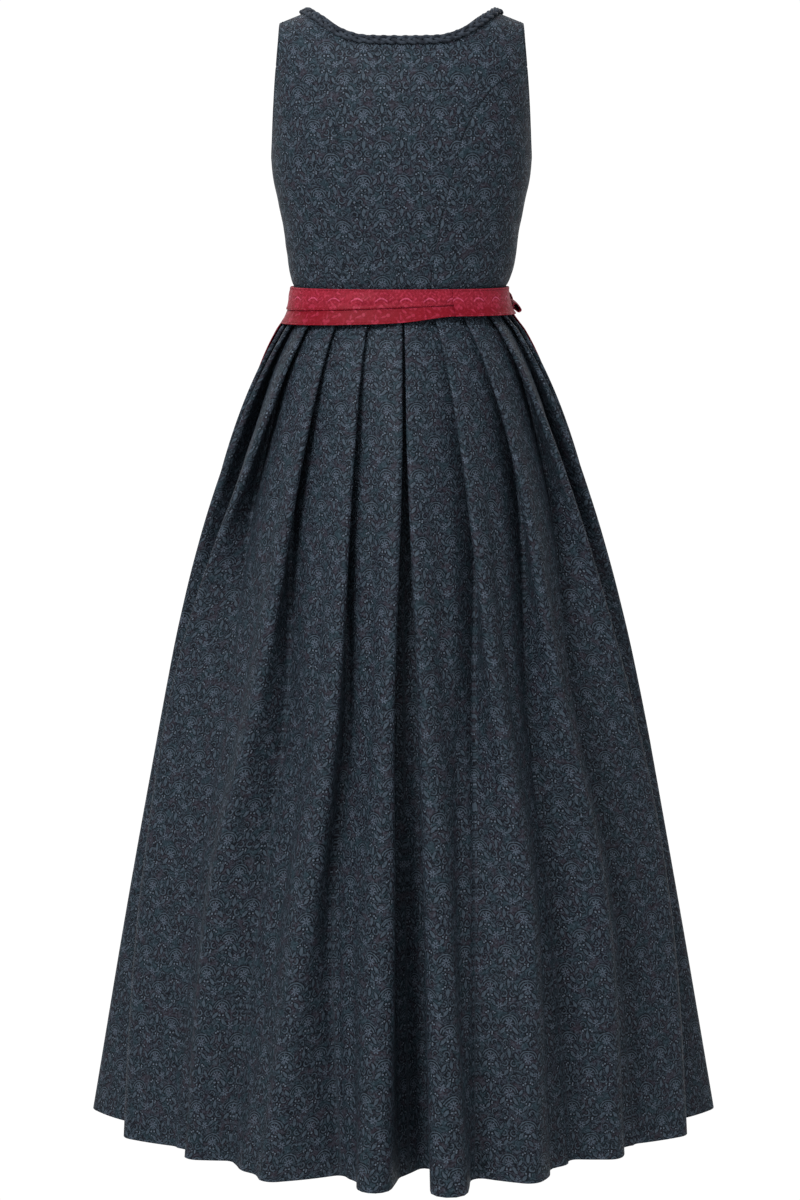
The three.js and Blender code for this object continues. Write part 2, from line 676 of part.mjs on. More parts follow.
const overTieBottom = [
  { turn: -27, height: 980 },
  { turn: 0, height: 977.5 },
  { turn: 30, height: 974.5 },
  { turn: 60, height: 972.2 },
  { turn: 90, height: 971.5 },
  { turn: 180, height: 972 },
  { turn: 243, height: 974 },
];

function waistPoint(turn, height, out) {
  const size = sizeOf(waistSizes, height, straight);
  return onOval(size, rad(turn), out * straight(waistSizes, 'height', height, 'slant'), height);
}

// A strip round the waist between two turns. bottom gives its lower edge and layer its distance out.
function stripGeometry(from, to, bottom, layer) {
  const count = Math.round(Math.abs(to - from) / STRIP_STEP);
  const turns = Array.from({ length: count + 1 }, (_, i) => mix(from, to, i / count));
  const low = (turn) => smooth(bottom, 'turn', turn, 'height');
  const knots = [970, 985].filter((height) => turns.every((turn) => low(turn) < height - 1));
  const skin = (off) => trimmed([low, ...knots.map((height) => () => height), () => tieTop]
    .map((heightAt) => turns.map((turn) => waistPoint(turn, heightAt(turn), layer(turn) + off))));
  return wallGeometry(skin(TIE_CLOTH), skin(0));
}

const bandLayer = (turn) => LAYER * THREE.MathUtils.clamp((turn - 243) / STRIP_STEP, 0, 1);

// Apron panel: gathered on the band, in soft waves that widen downwards, over the front of the skirt.
const apronRows = [
  { height: 966, left: 90, right: 264, wave: 2.0 },
  { height: 946, left: 93, right: 262, wave: 2.4 },
  { height: 905, left: 101, right: 258, wave: 3.2 },
  { height: 850, left: 106, right: 254, wave: 4.2 },
  { height: 780, left: 109, right: 251, wave: 5.2 },
  { height: 690, left: 111, right: 249, wave: 6.2 },
  { height: 560, left: 113, right: 247, wave: 7.2 },
  { height: 400, left: 115, right: 245, wave: 8.2 },
  { height: 220, left: 117, right: 243, wave: 9 },
  { height: 52, left: 119, right: 241, wave: 9.6 },
];
const APRON_WAVES = 10;
const APRON_COLUMNS = 60;
const APRON_CLEARANCE = 2.6;
const WAVE_DRIFT = { size: 0.35, rate: 5, phase: 1 };
const WAVE_FADE = 0.09;

function apronPoint(row, u, out) {
  const at = (key) => straight(apronRows, 'height', row.height, key);
  const height = row.height === apronRows[0].height
    ? smooth(bandBottom, 'turn', mix(row.left, row.right, u), 'height') - SEAM
    : row.height;
  const size = sizeOf(skirtSizes, height, straight);
  const step = 0.002;
  const mid = (v) => {
    const drift = WAVE_DRIFT.size * Math.sin(WAVE_DRIFT.rate * v + WAVE_DRIFT.phase);
    const fade = THREE.MathUtils.smoothstep(Math.min(v, 1 - v), 0, WAVE_FADE);
    const wave = fade * at('wave') * (1 - Math.cos(2 * Math.PI * (APRON_WAVES * v + drift)));
    return onOval(size, rad(mix(row.left, row.right, v)), APRON_CLEARANCE + CLOTH / 2 + wave, height);
  };
  const along = mid(u + step).sub(mid(u - step)).normalize();
  return mid(u).add(new THREE.Vector3(-along.y, along.x, 0).multiplyScalar(-out));
}

function apronGeometry() {
  const skin = (off) => apronRows.map((row) => Array.from(
    { length: APRON_COLUMNS + 1 },
    (_, column) => apronPoint(row, column / APRON_COLUMNS, off),
  ));
  return wallGeometry(skin(CLOTH / 2), skin(-CLOTH / 2));
}

// Bow at the wearer's right side. Its turns are given on the right, so they are negative here.
const KNOT = { height: 981, out: 10.3, squareness: 0.7 };
const knotRows = [
  { turn: -111.5, tall: 9, thick: 5.6 },
  { turn: -113.5, tall: 12, thick: 6.8 },
  { turn: -118, tall: 12.5, thick: 7 },
  { turn: -122.8, tall: 12, thick: 6.8 },
  { turn: -125, tall: 9, thick: 5.6 },
];

function knotGeometry() {
  const sides = 12;
  return ringGeometry(knotRows.map(({ turn, tall, thick }) => Array.from({ length: sides }, (_, i) => {
    const angle = (2 * Math.PI * i) / sides;
    const round = (value) => Math.sign(value) * Math.abs(value) ** KNOT.squareness;
    const height = KNOT.height + tall * round(Math.sin(angle));
    return waistPoint(turn, height, KNOT.out + thick * round(Math.cos(angle)));
  })));
}

const backLoopRows = [
  { turn: -94.5, height: 972.4, out: 7.6, tall: 5.6, wide: 4.2 },
  { turn: -99.5, height: 973.8, out: 7.8, tall: 6.2, wide: 4.3 },
  { turn: -105, height: 975.4, out: 8.2, tall: 6.2, wide: 4.5 },
  { turn: -111.2, height: 977, out: 8.6, tall: 5.8, wide: 4.6 },
];

function backLoopGeometry() {
  const sides = 14;
  const ring = ({ turn, height, out, tall, wide }, grow) => Array.from({ length: sides }, (_, i) => {
    const angle = (2 * Math.PI * i) / sides;
    return waistPoint(turn, height + (tall + grow) * Math.sin(angle), out + (wide + grow) * Math.cos(angle));
  });
  const rings = (grow) => backLoopRows.map((row) => ring(row, grow));
  return tubeGeometry(rings(0), rings(-TIE_CLOTH));
}

// The large loop to the front: a strip that runs out along the band, turns and comes back over itself.
const frontLoopRows = [
  { turn: -125.3, out: 8.2, tall: 7, height: 981 },
  { turn: -129, out: 6.6, tall: 9.5, height: 982 },
  { turn: -136, out: 5.6, tall: 12.5, height: 983 },
  { turn: -145, out: 5.4, tall: 14.4, height: 984 },
  { turn: -154, out: 5.6, tall: 15, height: 984.5 },
  { turn: -160, out: 6.6, tall: 15, height: 984.5 },
  { turn: -163, out: 9.6, tall: 15, height: 984.5 },
  { turn: -164, out: 13.6, tall: 15, height: 984.5 },
  { turn: -162.6, out: 17.8, tall: 15, height: 984.5 },
  { turn: -159, out: 20.4, tall: 15, height: 984.5 },
  { turn: -153, out: 21.6, tall: 15, height: 984.5 },
  { turn: -145, out: 20.8, tall: 14.4, height: 984 },
  { turn: -136, out: 18, tall: 12.5, height: 983 },
  { turn: -129, out: 14.6, tall: 9.5, height: 982 },
  { turn: -125.3, out: 12.4, tall: 7, height: 981 },
];

function frontLoopGeometry() {
  const across = 3;
  const middle = (row, v) => waistPoint(row.turn, row.height + row.tall * (2 * v - 1), row.out);
  const skin = (off) => Array.from({ length: across + 1 }, (_, k) => frontLoopRows.map((row, i) => {
    const before = middle(frontLoopRows[Math.max(i - 1, 0)], k / across);
    const after = middle(frontLoopRows[Math.min(i + 1, frontLoopRows.length - 1)], k / across);
    const along = after.sub(before);
    const normal = new THREE.Vector3(-along.y, along.x, 0).normalize();
    return middle(row, k / across).addScaledVector(normal, off);
  }));
  return wallGeometry(skin(TIE_CLOTH / 2), skin(-TIE_CLOTH / 2));
}

// Two tails hang from the knot over the apron. wide is the half width, as an angle at the waist.
const tailRows = [
  { height: 968.6, out: 11.6, wide: 5.8 },
  { height: 946, out: 12, wide: 8 },
  { height: 905, out: 13.5, wide: 11.5 },
  { height: 850, out: 15.5, wide: 15 },
  { height: 780, out: 17.5, wide: 18 },
  { height: 690, out: 19.5, wide: 20 },
  { height: 600, out: 21, wide: 21 },
];

const TAIL_FOLD = { depth: 1.6, phase: 0.6 };
const TAIL_AT = 0.3;
const LAST_STEP = 25;

function tailGeometry(turnTop, turnEnd, length) {
  const columns = 6;
  const [top, low] = [tailRows[0].height, tailRows[tailRows.length - 1].height];
  const end = top - length;
  const heights = [...tailRows.map(({ height }) => height).filter((height) => height > end + LAST_STEP), end];
  const middle = (height, v) => {
    const size = sizeOf(skirtSizes, height, straight);
    const down = (top - height) / (top - low);
    const turn = mix(turnTop, turnEnd, 1 - (1 - down) ** 2);
    const radius = mix(size.half, size.front, TAIL_AT);
    const spread = (smooth(tailRows, 'height', height, 'wide') * (2 * v - 1)) / radius;
    const fold = TAIL_FOLD.depth * Math.sin(2 * Math.PI * v + TAIL_FOLD.phase) * Math.min(down * 3, 1);
    return onOval(size, rad(turn) + spread, smooth(tailRows, 'height', height, 'out') + fold, height);
  };
  const skin = (off) => heights.map((height) => Array.from({ length: columns + 1 }, (_, k) => {
    const [before, after] = [-0.01, 0.01].map((d) => middle(height, k / columns + d));
    const along = after.sub(before);
    const normal = new THREE.Vector3(-along.y, along.x, 0).normalize();
    return middle(height, k / columns).addScaledVector(normal, off);
  }));
  return wallGeometry(skin(TIE_CLOTH / 2), skin(-TIE_CLOTH / 2));
}

const dirndl = new THREE.Group();

function add(name, geometry, material) {
  geometry.translate(0, 0, -ORIGIN_HEIGHT);
  const mesh = new THREE.Mesh(geometry, material);
  mesh.name = name;
  dirndl.add(mesh);
}

add('bodice_back_centre', backCentreGeometry(), dress);
for (const [side, name] of [[LEFT, 'left'], [RIGHT, 'right']]) {
  const back = sidePanelGeometry(side, backPrincess.map(backPlace), backUnderarm.map(backPlace));
  const front = sidePanelGeometry(side, frontPrincess.map(frontPlace), frontUnderarm.map(frontPlace));
  add(`bodice_back_side_${name}`, back, dress);
  add(`bodice_front_side_${name}`, front, dress);
  add(`bodice_front_${name}`, frontGeometry(side), dress);
}
add('neck_braid', braidGeometry(), braid);

const skirtNames = ['skirt_front_right', 'skirt_back_right', 'skirt_back_left', 'skirt_front_left'];
skirtGeometries().forEach((geometry, i) => add(skirtNames[i], geometry, dress));

add('apron_panel', apronGeometry(), red);
add('apron_band', stripGeometry(90, 333, bandBottom, bandLayer), red);
add('apron_tie_under', stripGeometry(-108, 90, bandBottom, () => 0), red);
add('apron_tie_over', stripGeometry(-27, 243, overTieBottom, () => LAYER), red);
add('bow_knot', knotGeometry(), red);
add('bow_loop_back', backLoopGeometry(), red);
add('bow_loop_front', frontLoopGeometry(), red);
add('bow_tail_long', tailGeometry(-115, -123, 370), red);
add('bow_tail_short', tailGeometry(-121.8, -138, 310), red);

export default dirndl;
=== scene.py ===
import math

import bpy
import numpy as np
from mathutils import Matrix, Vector


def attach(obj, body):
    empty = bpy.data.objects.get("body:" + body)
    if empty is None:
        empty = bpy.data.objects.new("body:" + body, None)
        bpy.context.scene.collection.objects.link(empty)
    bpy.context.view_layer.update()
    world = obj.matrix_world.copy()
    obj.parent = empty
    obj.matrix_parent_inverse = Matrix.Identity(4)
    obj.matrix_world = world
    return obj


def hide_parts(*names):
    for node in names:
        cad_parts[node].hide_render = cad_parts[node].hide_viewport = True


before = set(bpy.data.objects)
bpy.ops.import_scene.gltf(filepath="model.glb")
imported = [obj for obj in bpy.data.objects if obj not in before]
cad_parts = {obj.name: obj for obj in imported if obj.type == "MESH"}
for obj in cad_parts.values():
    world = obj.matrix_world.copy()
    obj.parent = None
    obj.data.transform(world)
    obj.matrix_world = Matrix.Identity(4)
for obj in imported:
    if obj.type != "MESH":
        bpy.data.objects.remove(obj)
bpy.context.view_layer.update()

# Studio. The dirndl hangs as it is worn, seen from behind and a little from above, over a round floor of pale
# paper in a white hall that is brightest at the sides, with broad soft lamps round it.
FLOOR_LEVEL, FLOOR_RADIUS = -2.60, 2.4
HALL_LOW, HALL_HIGH = 0.06, 0.4
HALL_SIDE_LIGHT, HALL_TOP_LIGHT = 1.04, 0.79

camera_data = bpy.data.cameras.new("camera")
camera_data.lens = 90.39
camera = bpy.data.objects.new("camera", camera_data)
camera.location = (0.0018, 3.60, -0.169)
camera.rotation_euler = (math.radians(81.8), 0, math.radians(180))
bpy.context.collection.objects.link(camera)
bpy.context.scene.camera = camera
bpy.context.scene.view_settings.view_transform = "Standard"


def paint(red, green, blue):
    """A colour as seen, each part from 0 to 255, in the linear form that materials take."""
    parts = [part / 255 for part in (red, green, blue)]
    return (*[p / 12.92 if p < 0.04 else ((p + 0.055) / 1.055) ** 2.4 for p in parts], 1)


class Signal:
    """A socket of a material, for use in arithmetic."""

    def __init__(self, finish, socket):
        self.finish, self.socket = finish, socket

    def _math(self, operation, *others):
        return self.finish.node("ShaderNodeMath", {"operation": operation}, dict(enumerate((self, *others))))

    def __add__(self, other):
        return self._math("ADD", other)

    def __sub__(self, other):
        return self._math("SUBTRACT", other)

    def __mul__(self, other):
        return self._math("MULTIPLY", other)

    def __truediv__(self, other):
        return self._math("DIVIDE", other)

    def __rsub__(self, other):
        return self * -1 + other

    def __mod__(self, other):
        return self._math("FLOORED_MODULO", other)

    def __abs__(self):
        return self._math("ABSOLUTE")

    __radd__, __rmul__ = __add__, __mul__

    def floor(self):
        return self._math("FLOOR")

    def cos(self):
        return self._math("COSINE")

    def most(self, other):
        return self._math("MAXIMUM", other)

    def least(self, other):
        return self._math("MINIMUM", other)

    def rise(self, low, high):
        """0 below low, 1 above high, with a soft change between."""
        values = {0: self, 1: low, 2: high, 3: 0, 4: 1}
        return self.finish.node("ShaderNodeMapRange", {"interpolation_type": "SMOOTHSTEP"}, values)


def add_node(tree, kind, settings, inputs):
    """Adds a node to a tree, and sets or links its inputs."""
    made = tree.nodes.new(kind)
    for key, value in settings.items():
        setattr(made, key, value)
    for key, value in inputs.items():
        value = value.socket if isinstance(value, Signal) else value
        if isinstance(value, bpy.types.NodeSocket):
            tree.links.new(value, made.inputs[key])
        else:
            made.inputs[key].default_value = value
    return made


class Finish:
    """A material and the nodes that make it."""

    def __init__(self, name):
        self.material = bpy.data.materials.new(name)
        self.material.use_nodes = True
        self.tree = self.material.node_tree
        self.tree.nodes.clear()

    def node(self, kind, settings, inputs, output=0):
        made = add_node(self.tree, kind, settings, inputs)
        return Signal(self, made.outputs[output]) if made.outputs else None

    def blend(self, share, first, second):
        return self.node("ShaderNodeMix", {"data_type": "RGBA"}, {0: share, 6: first, 7: second}, 2)

    def noise(self, where, scale, detail=2.0, output=0):
        values = {"Vector": where, "Scale": scale, "Detail": detail}
        return self.node("ShaderNodeTexNoise", {}, values, output)

    def vector(self, operation, values, output=0):
        return self.node("ShaderNodeVectorMath", {"operation": operation}, values, output)

    def axis(self, vector, number):
        return self.node("ShaderNodeSeparateXYZ", {}, {0: vector}, number)

    def surface(self, colour, roughness, height, relief, **constants):
        """Ends the material. height is the relief's form from 0 to 1, relief its real depth in metres."""
        bump = self.node("ShaderNodeBump", {}, {"Strength": 1.0, "Distance": relief, "Height": height})
        values = {"Base Color": colour, "Roughness": roughness, "Normal": bump}
        shader = self.node("ShaderNodeBsdfPrincipled", {}, {**values, **constants})
        self.node("ShaderNodeOutputMaterial", {}, {"Surface": shader})
        return self.material


def mesh_object(name, points, faces, material, uv=None):
    """A smooth mesh of one material, laid out by its cut where uv is given."""
    mesh = bpy.data.meshes.new(name)
    mesh.from_pydata(points, [], faces)
    mesh.shade_smooth()
    if uv is not None:
        corners = np.empty(len(mesh.loops), np.int32)
        mesh.loops.foreach_get("vertex_index", corners)
        mesh.uv_layers.new(name="cut").data.foreach_set("uv", uv[corners].ravel())
    mesh.materials.append(material)
    made = bpy.data.objects.new(name, mesh)
    bpy.context.collection.objects.link(made)
    return made


def paper_floor():
    """A flat round floor with the faint grain of paper."""
    around, radii = 96, (0.02, FLOOR_RADIUS / 2, FLOOR_RADIUS)
    turns = [2 * math.pi * k / around for k in range(around)]
    points = [(r * math.cos(turn), r * math.sin(turn), FLOOR_LEVEL) for r in radii for turn in turns]
    faces = [tuple(range(around))]
    for ring in range(len(radii) - 1):
        for k in range(around):
            a, b = ring * around + k, ring * around + (k + 1) % around
            faces.append((a, a + around, b + around, b))
    paper = Finish("pale_paper")
    grain = paper.noise(paper.node("ShaderNodeTexCoord", {}, {}, "Object"), 900.0)
    colour = paper.blend(grain, paint(240, 240, 240), paint(246, 246, 246))
    return mesh_object("paper_floor", points, faces, paper.surface(colour, 0.9, grain, 0.0001))


paper_floor()

world = bpy.data.worlds.new("studio")
world.use_nodes = True
hall = world.node_tree
hall_light = hall.nodes["Background"]
hall_light.inputs["Color"].default_value = (1, 1, 1, 1)
hall_side, hall_height, hall_fade = (
    hall.nodes.new(kind) for kind in ("ShaderNodeTexCoord", "ShaderNodeSeparateXYZ", "ShaderNodeMapRange")
)
for key, value in enumerate((HALL_LOW, HALL_HIGH, HALL_SIDE_LIGHT, HALL_TOP_LIGHT), start=1):
    hall_fade.inputs[key].default_value = value
hall.links.new(hall_side.outputs["Generated"], hall_height.inputs[0])
hall.links.new(hall_height.outputs["Z"], hall_fade.inputs[0])
hall.links.new(hall_fade.outputs[0], hall_light.inputs["Strength"])
bpy.context.scene.world = world

LAMPS = [
    # name, place, what it is aimed at, width and watts
    ("lamp_key", (1.5, 2.7, 2.0), (0, 0, -0.2), 1.1, 210),
    ("lamp_right", (-3.2, 2.2, 0.9), (0, 0, -0.7), 1.6, 14),
    ("lamp_front_left", (2.2, -3.4, 1.9), (0, 0, -0.6), 2.0, 60),
    ("lamp_front_right", (-2.2, -3.4, 1.9), (0, 0, -0.6), 2.0, 45),
    ("lamp_top", (0, 0, 3.0), (0, 0, 0), 2.4, 40),
]
for name, place, aim, width, watts in LAMPS:
    lamp_data = bpy.data.lights.new(name, "AREA")
    lamp_data.size = width
    lamp_data.energy = watts
    lamp = bpy.data.objects.new(name, lamp_data)
    lamp.location = place
    lamp.rotation_euler = (Vector(aim) - Vector(place)).to_track_quat("-Z", "Y").to_euler()
    lamp.visible_camera = False
    bpy.context.collection.objects.link(lamp)

# Bodice. Seven panels of the dress cloth, a navy jacquard, joined by curved seams that pull slightly inwards.
# It is a row of level ovals up to the yoke, which then closes over the shoulders. Millimetres from the hem.
WAIST_EDGE = 985
YOKE = 1200
CLOTH = 1.1
NECK_POINT = (108, 1320)
SHOULDER_TIP = 143
SHOULDER_SLOPE = 0.4
QUARTER = math.pi / 2


def table(columns, *rows):
    """Rows of numbers as named columns."""
    return dict(zip(columns.split(), np.array(rows, float).T))


def curve(keys, values):
    """A smooth curve through the rows of a table, as a function."""
    keys, values = np.asarray(keys, float), np.asarray(values, float)
    if keys[0] > keys[-1]:
        keys, values = keys[::-1], values[::-1]
    slopes = np.empty_like(values)
    slopes[1:-1] = (values[2:] - values[:-2]) / (keys[2:] - keys[:-2])
    slopes[0] = (values[1] - values[0]) / (keys[1] - keys[0])
    slopes[-1] = (values[-1] - values[-2]) / (keys[-1] - keys[-2])

    def value(at):
        i = np.clip(np.searchsorted(keys, at, side="right") - 1, 0, len(keys) - 2)
        span = keys[i + 1] - keys[i]
        t = np.clip((at - keys[i]) / span, 0, 1)
        ahead = (3 - 2 * t) * t * t
        bend = t * (1 - t) * span * ((1 - t) * slopes[i] - t * slopes[i + 1])
        return values[i] + ahead * (values[i + 1] - values[i]) + bend

    return value


def curves(rows):
    """The columns of a table as functions of its first one."""
    (_, keys), *columns = rows.items()
    return {name: curve(keys, values) for name, values in columns}


def values_at(columns, height):
    return {name: value(height) for name, value in columns.items()}


def oval(size, turn):
    swell = 1 + size["corner"] * np.sin(2 * turn) ** 2
    depth = np.where(np.cos(turn) > 0, size["back"], size["front"])
    return np.stack([size["half"] * np.sin(turn) * swell, depth * np.cos(turn) * swell], -1)


def on_oval(size, turn, out, height):
    """A point outside a level oval, at a turn from centre back and a distance out from it."""
    step = 0.002
    along = oval(size, turn + step) - oval(size, turn - step)
    along /= np.linalg.norm(along, axis=-1, keepdims=True)
    p = oval(size, turn)
    x, y = p[..., 0] - along[..., 1] * out, p[..., 1] + along[..., 0] * out
    return np.stack(np.broadcast_arrays(x, y, height), -1)


bodice_sizes = curves(table(
    "height half back front corner",
    (985, 124.5, 88, 87, 0.04),
    (997, 124.3, 88.2, 87.8, 0.04),
    (1003, 127.6, 89.7, 89.8, 0.04),
    (1018, 132.6, 92, 94.5, 0.04),
    (1036, 135.8, 94, 101, 0.04),
    (1055, 138, 96.5, 108, 0.045),
    (1075, 141.4, 99.5, 116, 0.045),
    (1100, 146.2, 103, 124, 0.05),
    (1125, 151.6, 105.5, 128, 0.05),
    (1150, 153.8, 107, 127, 0.05),
    (1175, 154, 108, 123, 0.05),
    (1200, 154, 107, 116, 0.05),
))


def shoulder_ridge(x):
    """Height of the shoulder's ridge: it slopes down to the armhole and runs on level over the neck."""
    beyond = np.abs(x) - NECK_POINT[0]
    inside = (NECK_POINT[0] ** 2 - x**2) / (2 * NECK_POINT[0])
    return NECK_POINT[1] + SHOULDER_SLOPE * np.where(beyond > 0, -beyond, inside)


def bodice_surface(turn, rise):
    """A point of the bodice. rise is 0 at the waist seam, 1 at the yoke and 2 on top of the shoulder."""
    height = WAIST_EDGE + (YOKE - WAIST_EDGE) * np.minimum(rise, 1)
    p = oval(values_at(bodice_sizes, height), turn)
    over = np.clip(rise - 1, 0, 1) * QUARTER
    top = shoulder_ridge(p[..., 0]) - YOKE
    return np.stack([p[..., 0], p[..., 1] * np.cos(over), height + top * np.sin(over)], -1)


def bodice_normal(turn, rise):
    """The direction out of the bodice at a point of it."""
    step = 0.003
    up = bodice_surface(turn, np.minimum(rise + step, 2)) - bodice_surface(turn, np.maximum(rise - step, 0))
    along = bodice_surface(turn + step, rise) - bodice_surface(turn - step, rise)
    normal = np.cross(up, along)
    return normal / np.linalg.norm(normal, axis=-1, keepdims=True)


def rise_at(height, x):
    """The rise of a point of the bodice at a height and a distance from the middle."""
    below = (height - WAIST_EDGE) / (YOKE - WAIST_EDGE)
    over = np.clip((height - YOKE) / (shoulder_ridge(x) - YOKE), 0, 1)
    return np.where(height <= YOKE, below, 1 + np.arcsin(over) / QUARTER)


def back_place(x, height):
    """The turn and the rise of a point of the left back, from its height and distance from the middle."""
    size = values_at(bodice_sizes, np.minimum(height, YOKE))
    turn = np.zeros_like(x)
    for _ in range(30):
        swell = 1 + size["corner"] * np.sin(2 * turn) ** 2
        turn = np.arcsin(np.clip(x / size["half"] / swell, -1, 1))
    turn = np.where(x > size["half"], QUARTER, turn)
    return np.stack([turn, rise_at(height, x)], -1)


def front_place(x, height):
    """The same for a point of the left front."""
    return back_place(x, height) * (-1, 1) + (math.pi, 0)


PATH_STEPS = 12


def dense(path):
    """A path through a few places as a smooth path with many."""
    knots = np.arange(len(path))
    at = np.linspace(0, len(path) - 1, (len(path) - 1) * PATH_STEPS + 1)
    return np.stack([curve(knots, path[:, 0])(at), curve(knots, path[:, 1])(at)], -1)


def seam_path(where, *rows, to_ridge=False):
    """A seam or edge through places on the back or the front, given in mm from the middle and the hem."""
    x, height = np.array(rows, float).T
    path = where(x, height)
    if to_ridge:
        path[-1, 1] = 2
    return dense(path)


back_princess = seam_path(
    back_place,
    (35, 985), (35.2, 1001), (36.2, 1018), (41, 1050), (47, 1080), (54.5, 1110),
    (62.5, 1140), (69.5, 1168), (80, 1192), (94, 1214), (115, 1236), (146.8, 1254),
)
back_armhole = seam_path(
    back_place,
    (146.8, 1254), (145.4, 1272), (144.1, 1290), (SHOULDER_TIP, 1302),
    to_ridge=True,
)
back_underarm = seam_path(
    back_place,
    (146.8, 1254), (148.9, 1230), (150.6, 1205), (151.9, 1182), (153.2, 1160), (160, 1148),
)
front_underarm = seam_path(
    front_place,
    (138.5, 1215), (141.4, 1195), (145.5, 1176), (150.5, 1160), (160, 1148),
)
front_princess = seam_path(
    front_place,
    (50, 985), (50.5, 1001), (53.5, 1018), (62, 1045), (72, 1075), (80.5, 1105),
    (85.5, 1130), (90, 1155), (96.5, 1175), (107, 1195), (121, 1208), (138.5, 1215),
)
front_armhole = seam_path(
    front_place,
    (138.5, 1215), (138.6, 1237), (139.8, 1260), (141.5, 1282), (SHOULDER_TIP, 1302),
    to_ridge=True,
)
back_neck = seam_path(
    back_place,
    (0, 1287.5), (26, 1288), (50, 1290), (72, 1298.5), (88, 1310), (100, 1317.5), NECK_POINT,
    to_ridge=True,
)
front_neck = seam_path(
    front_place,
    (0, 1166), (24, 1167.5), (46, 1172), (66, 1181), (80, 1196), (88, 1216), (94, 1240), (101, 1272),
    NECK_POINT,
    to_ridge=True,
)
side_heights = np.array([985, 1001, 1018, 1034, 1050, 1066, 1082, 1098, 1112, 1125, 1137, 1148], float)
side_seam = dense(np.stack([np.full(12, QUARTER), rise_at(side_heights, 0)], -1))
front_heights = np.array([985, 1001, 1018, 1045, 1076, 1107, 1137, 1166], float)
front_edge = dense(np.stack([np.full(8, math.pi), rise_at(front_heights, 0)], -1))


def strap_top(where, steps):
    """The end of a strap on the shoulder's ridge, from the armhole to the neck."""
    x = np.linspace(SHOULDER_TIP, NECK_POINT[0], steps * PATH_STEPS + 1)
    turn = where(x, np.full_like(x, YOKE))[:, 0]
    return np.stack([turn, np.full_like(turn, 2)], -1)


def sideways(start, end, count):
    return start + (end - start) * np.linspace(0, 1, count)[:, None]


def joined(*paths):
    return np.vstack([paths[0], *[path[1:] for path in paths[1:]]])


def turned(path):
    return path * (-1, 1)


def along_path(path, share):
    at = np.linspace(0, 1, len(path))
    return np.stack([np.interp(share, at, path[:, 0]), np.interp(share, at, path[:, 1])], -1)


def spaced(count, ends=(0.004, 0.009, 0.015, 0.024, 0.036)):
    """Even shares from 0 to 1 with more of them beside both ends, where a seam pulls in."""
    return np.unique(np.round(np.concatenate([np.linspace(0, 1, count + 1), ends, 1 - np.array(ends)]), 6))


def lengths_along(points, axis):
    """Lengths from the start of a grid of points to each of them, along one of its ways."""
    steps = np.linalg.norm(np.diff(points, axis=axis), axis=-1)
    return np.insert(np.cumsum(steps, axis=axis), 0, 0, axis=axis)


# Arc lengths over the whole bodice, from centre back and from the waist: the cloth's own grain.
GRAIN_ACROSS, GRAIN_UP = 180, 120
grain_grid = bodice_surface(*np.meshgrid(
    np.linspace(0, math.pi, GRAIN_ACROSS + 1), np.linspace(0, 2, GRAIN_UP + 1)
))
grain_across, grain_up = lengths_along(grain_grid, 1), lengths_along(grain_grid, 0)


def sampled(grid, turn, rise):
    """The grid's length at a point of the bodice, between its four nearest ones."""
    i = np.clip(np.abs(turn) / math.pi * GRAIN_ACROSS, 0, GRAIN_ACROSS - 0.001)
    j = np.clip(rise / 2 * GRAIN_UP, 0, GRAIN_UP - 0.001)
    a, b = i.astype(int), j.astype(int)
    s, t = i - a, j - b
    low = grid[b, a] * (1 - s) + grid[b, a + 1] * s
    high = grid[b + 1, a] * (1 - s) + grid[b + 1, a + 1] * s
    return low * (1 - t) + high * t


# How the worn cloth differs from even ovals, in millimetres from the hem: it drops a little towards the hem,
# more at the sides, swings out to the right low down, and stands out to the left at the waist.
ORIGIN_HEIGHT = 1309
SETTLE_FROM = 420
BACK_DROP, SIDE_DROP = 3, 9
RIGHT_SWING, SWING_FROM, SWING_FULL = 0.014, 750, 450
LEFT_WAIST, RIGHT_WAIST = 0.026, -0.012
WAIST_MIDDLE, WAIST_REACH = 985, 26


def eased(share):
    """A share from 0 to 1 that starts and ends softly."""
    share = np.clip(share, 0, 1)
    return share * share * (3 - 2 * share)


def in_metres(points):
    """Points of the even garment, in mm from the hem, as they hang in the scene's frame."""
    x, y, height = np.moveaxis(np.asarray(points, float), -1, 0)
    low = eased(1 - height / SETTLE_FROM)
    aside = x * x / (x * x + y * y + 1)
    swing = np.clip((SWING_FROM - height) / (SWING_FROM - SWING_FULL), 0, 1)
    swing = np.where(x < 0, RIGHT_SWING, 0) * swing
    waist = np.exp(-((height - WAIST_MIDDLE) / WAIST_REACH) ** 2)
    waist = np.where(x > 0, LEFT_WAIST, RIGHT_WAIST) * waist
    drop = low * (BACK_DROP + SIDE_DROP * aside)
    return np.stack([x * (1 + swing + waist), y, height - drop - ORIGIN_HEIGHT], -1) / 1000


def quads(*corners):
    return np.stack(corners, -1).reshape(-1, 4)


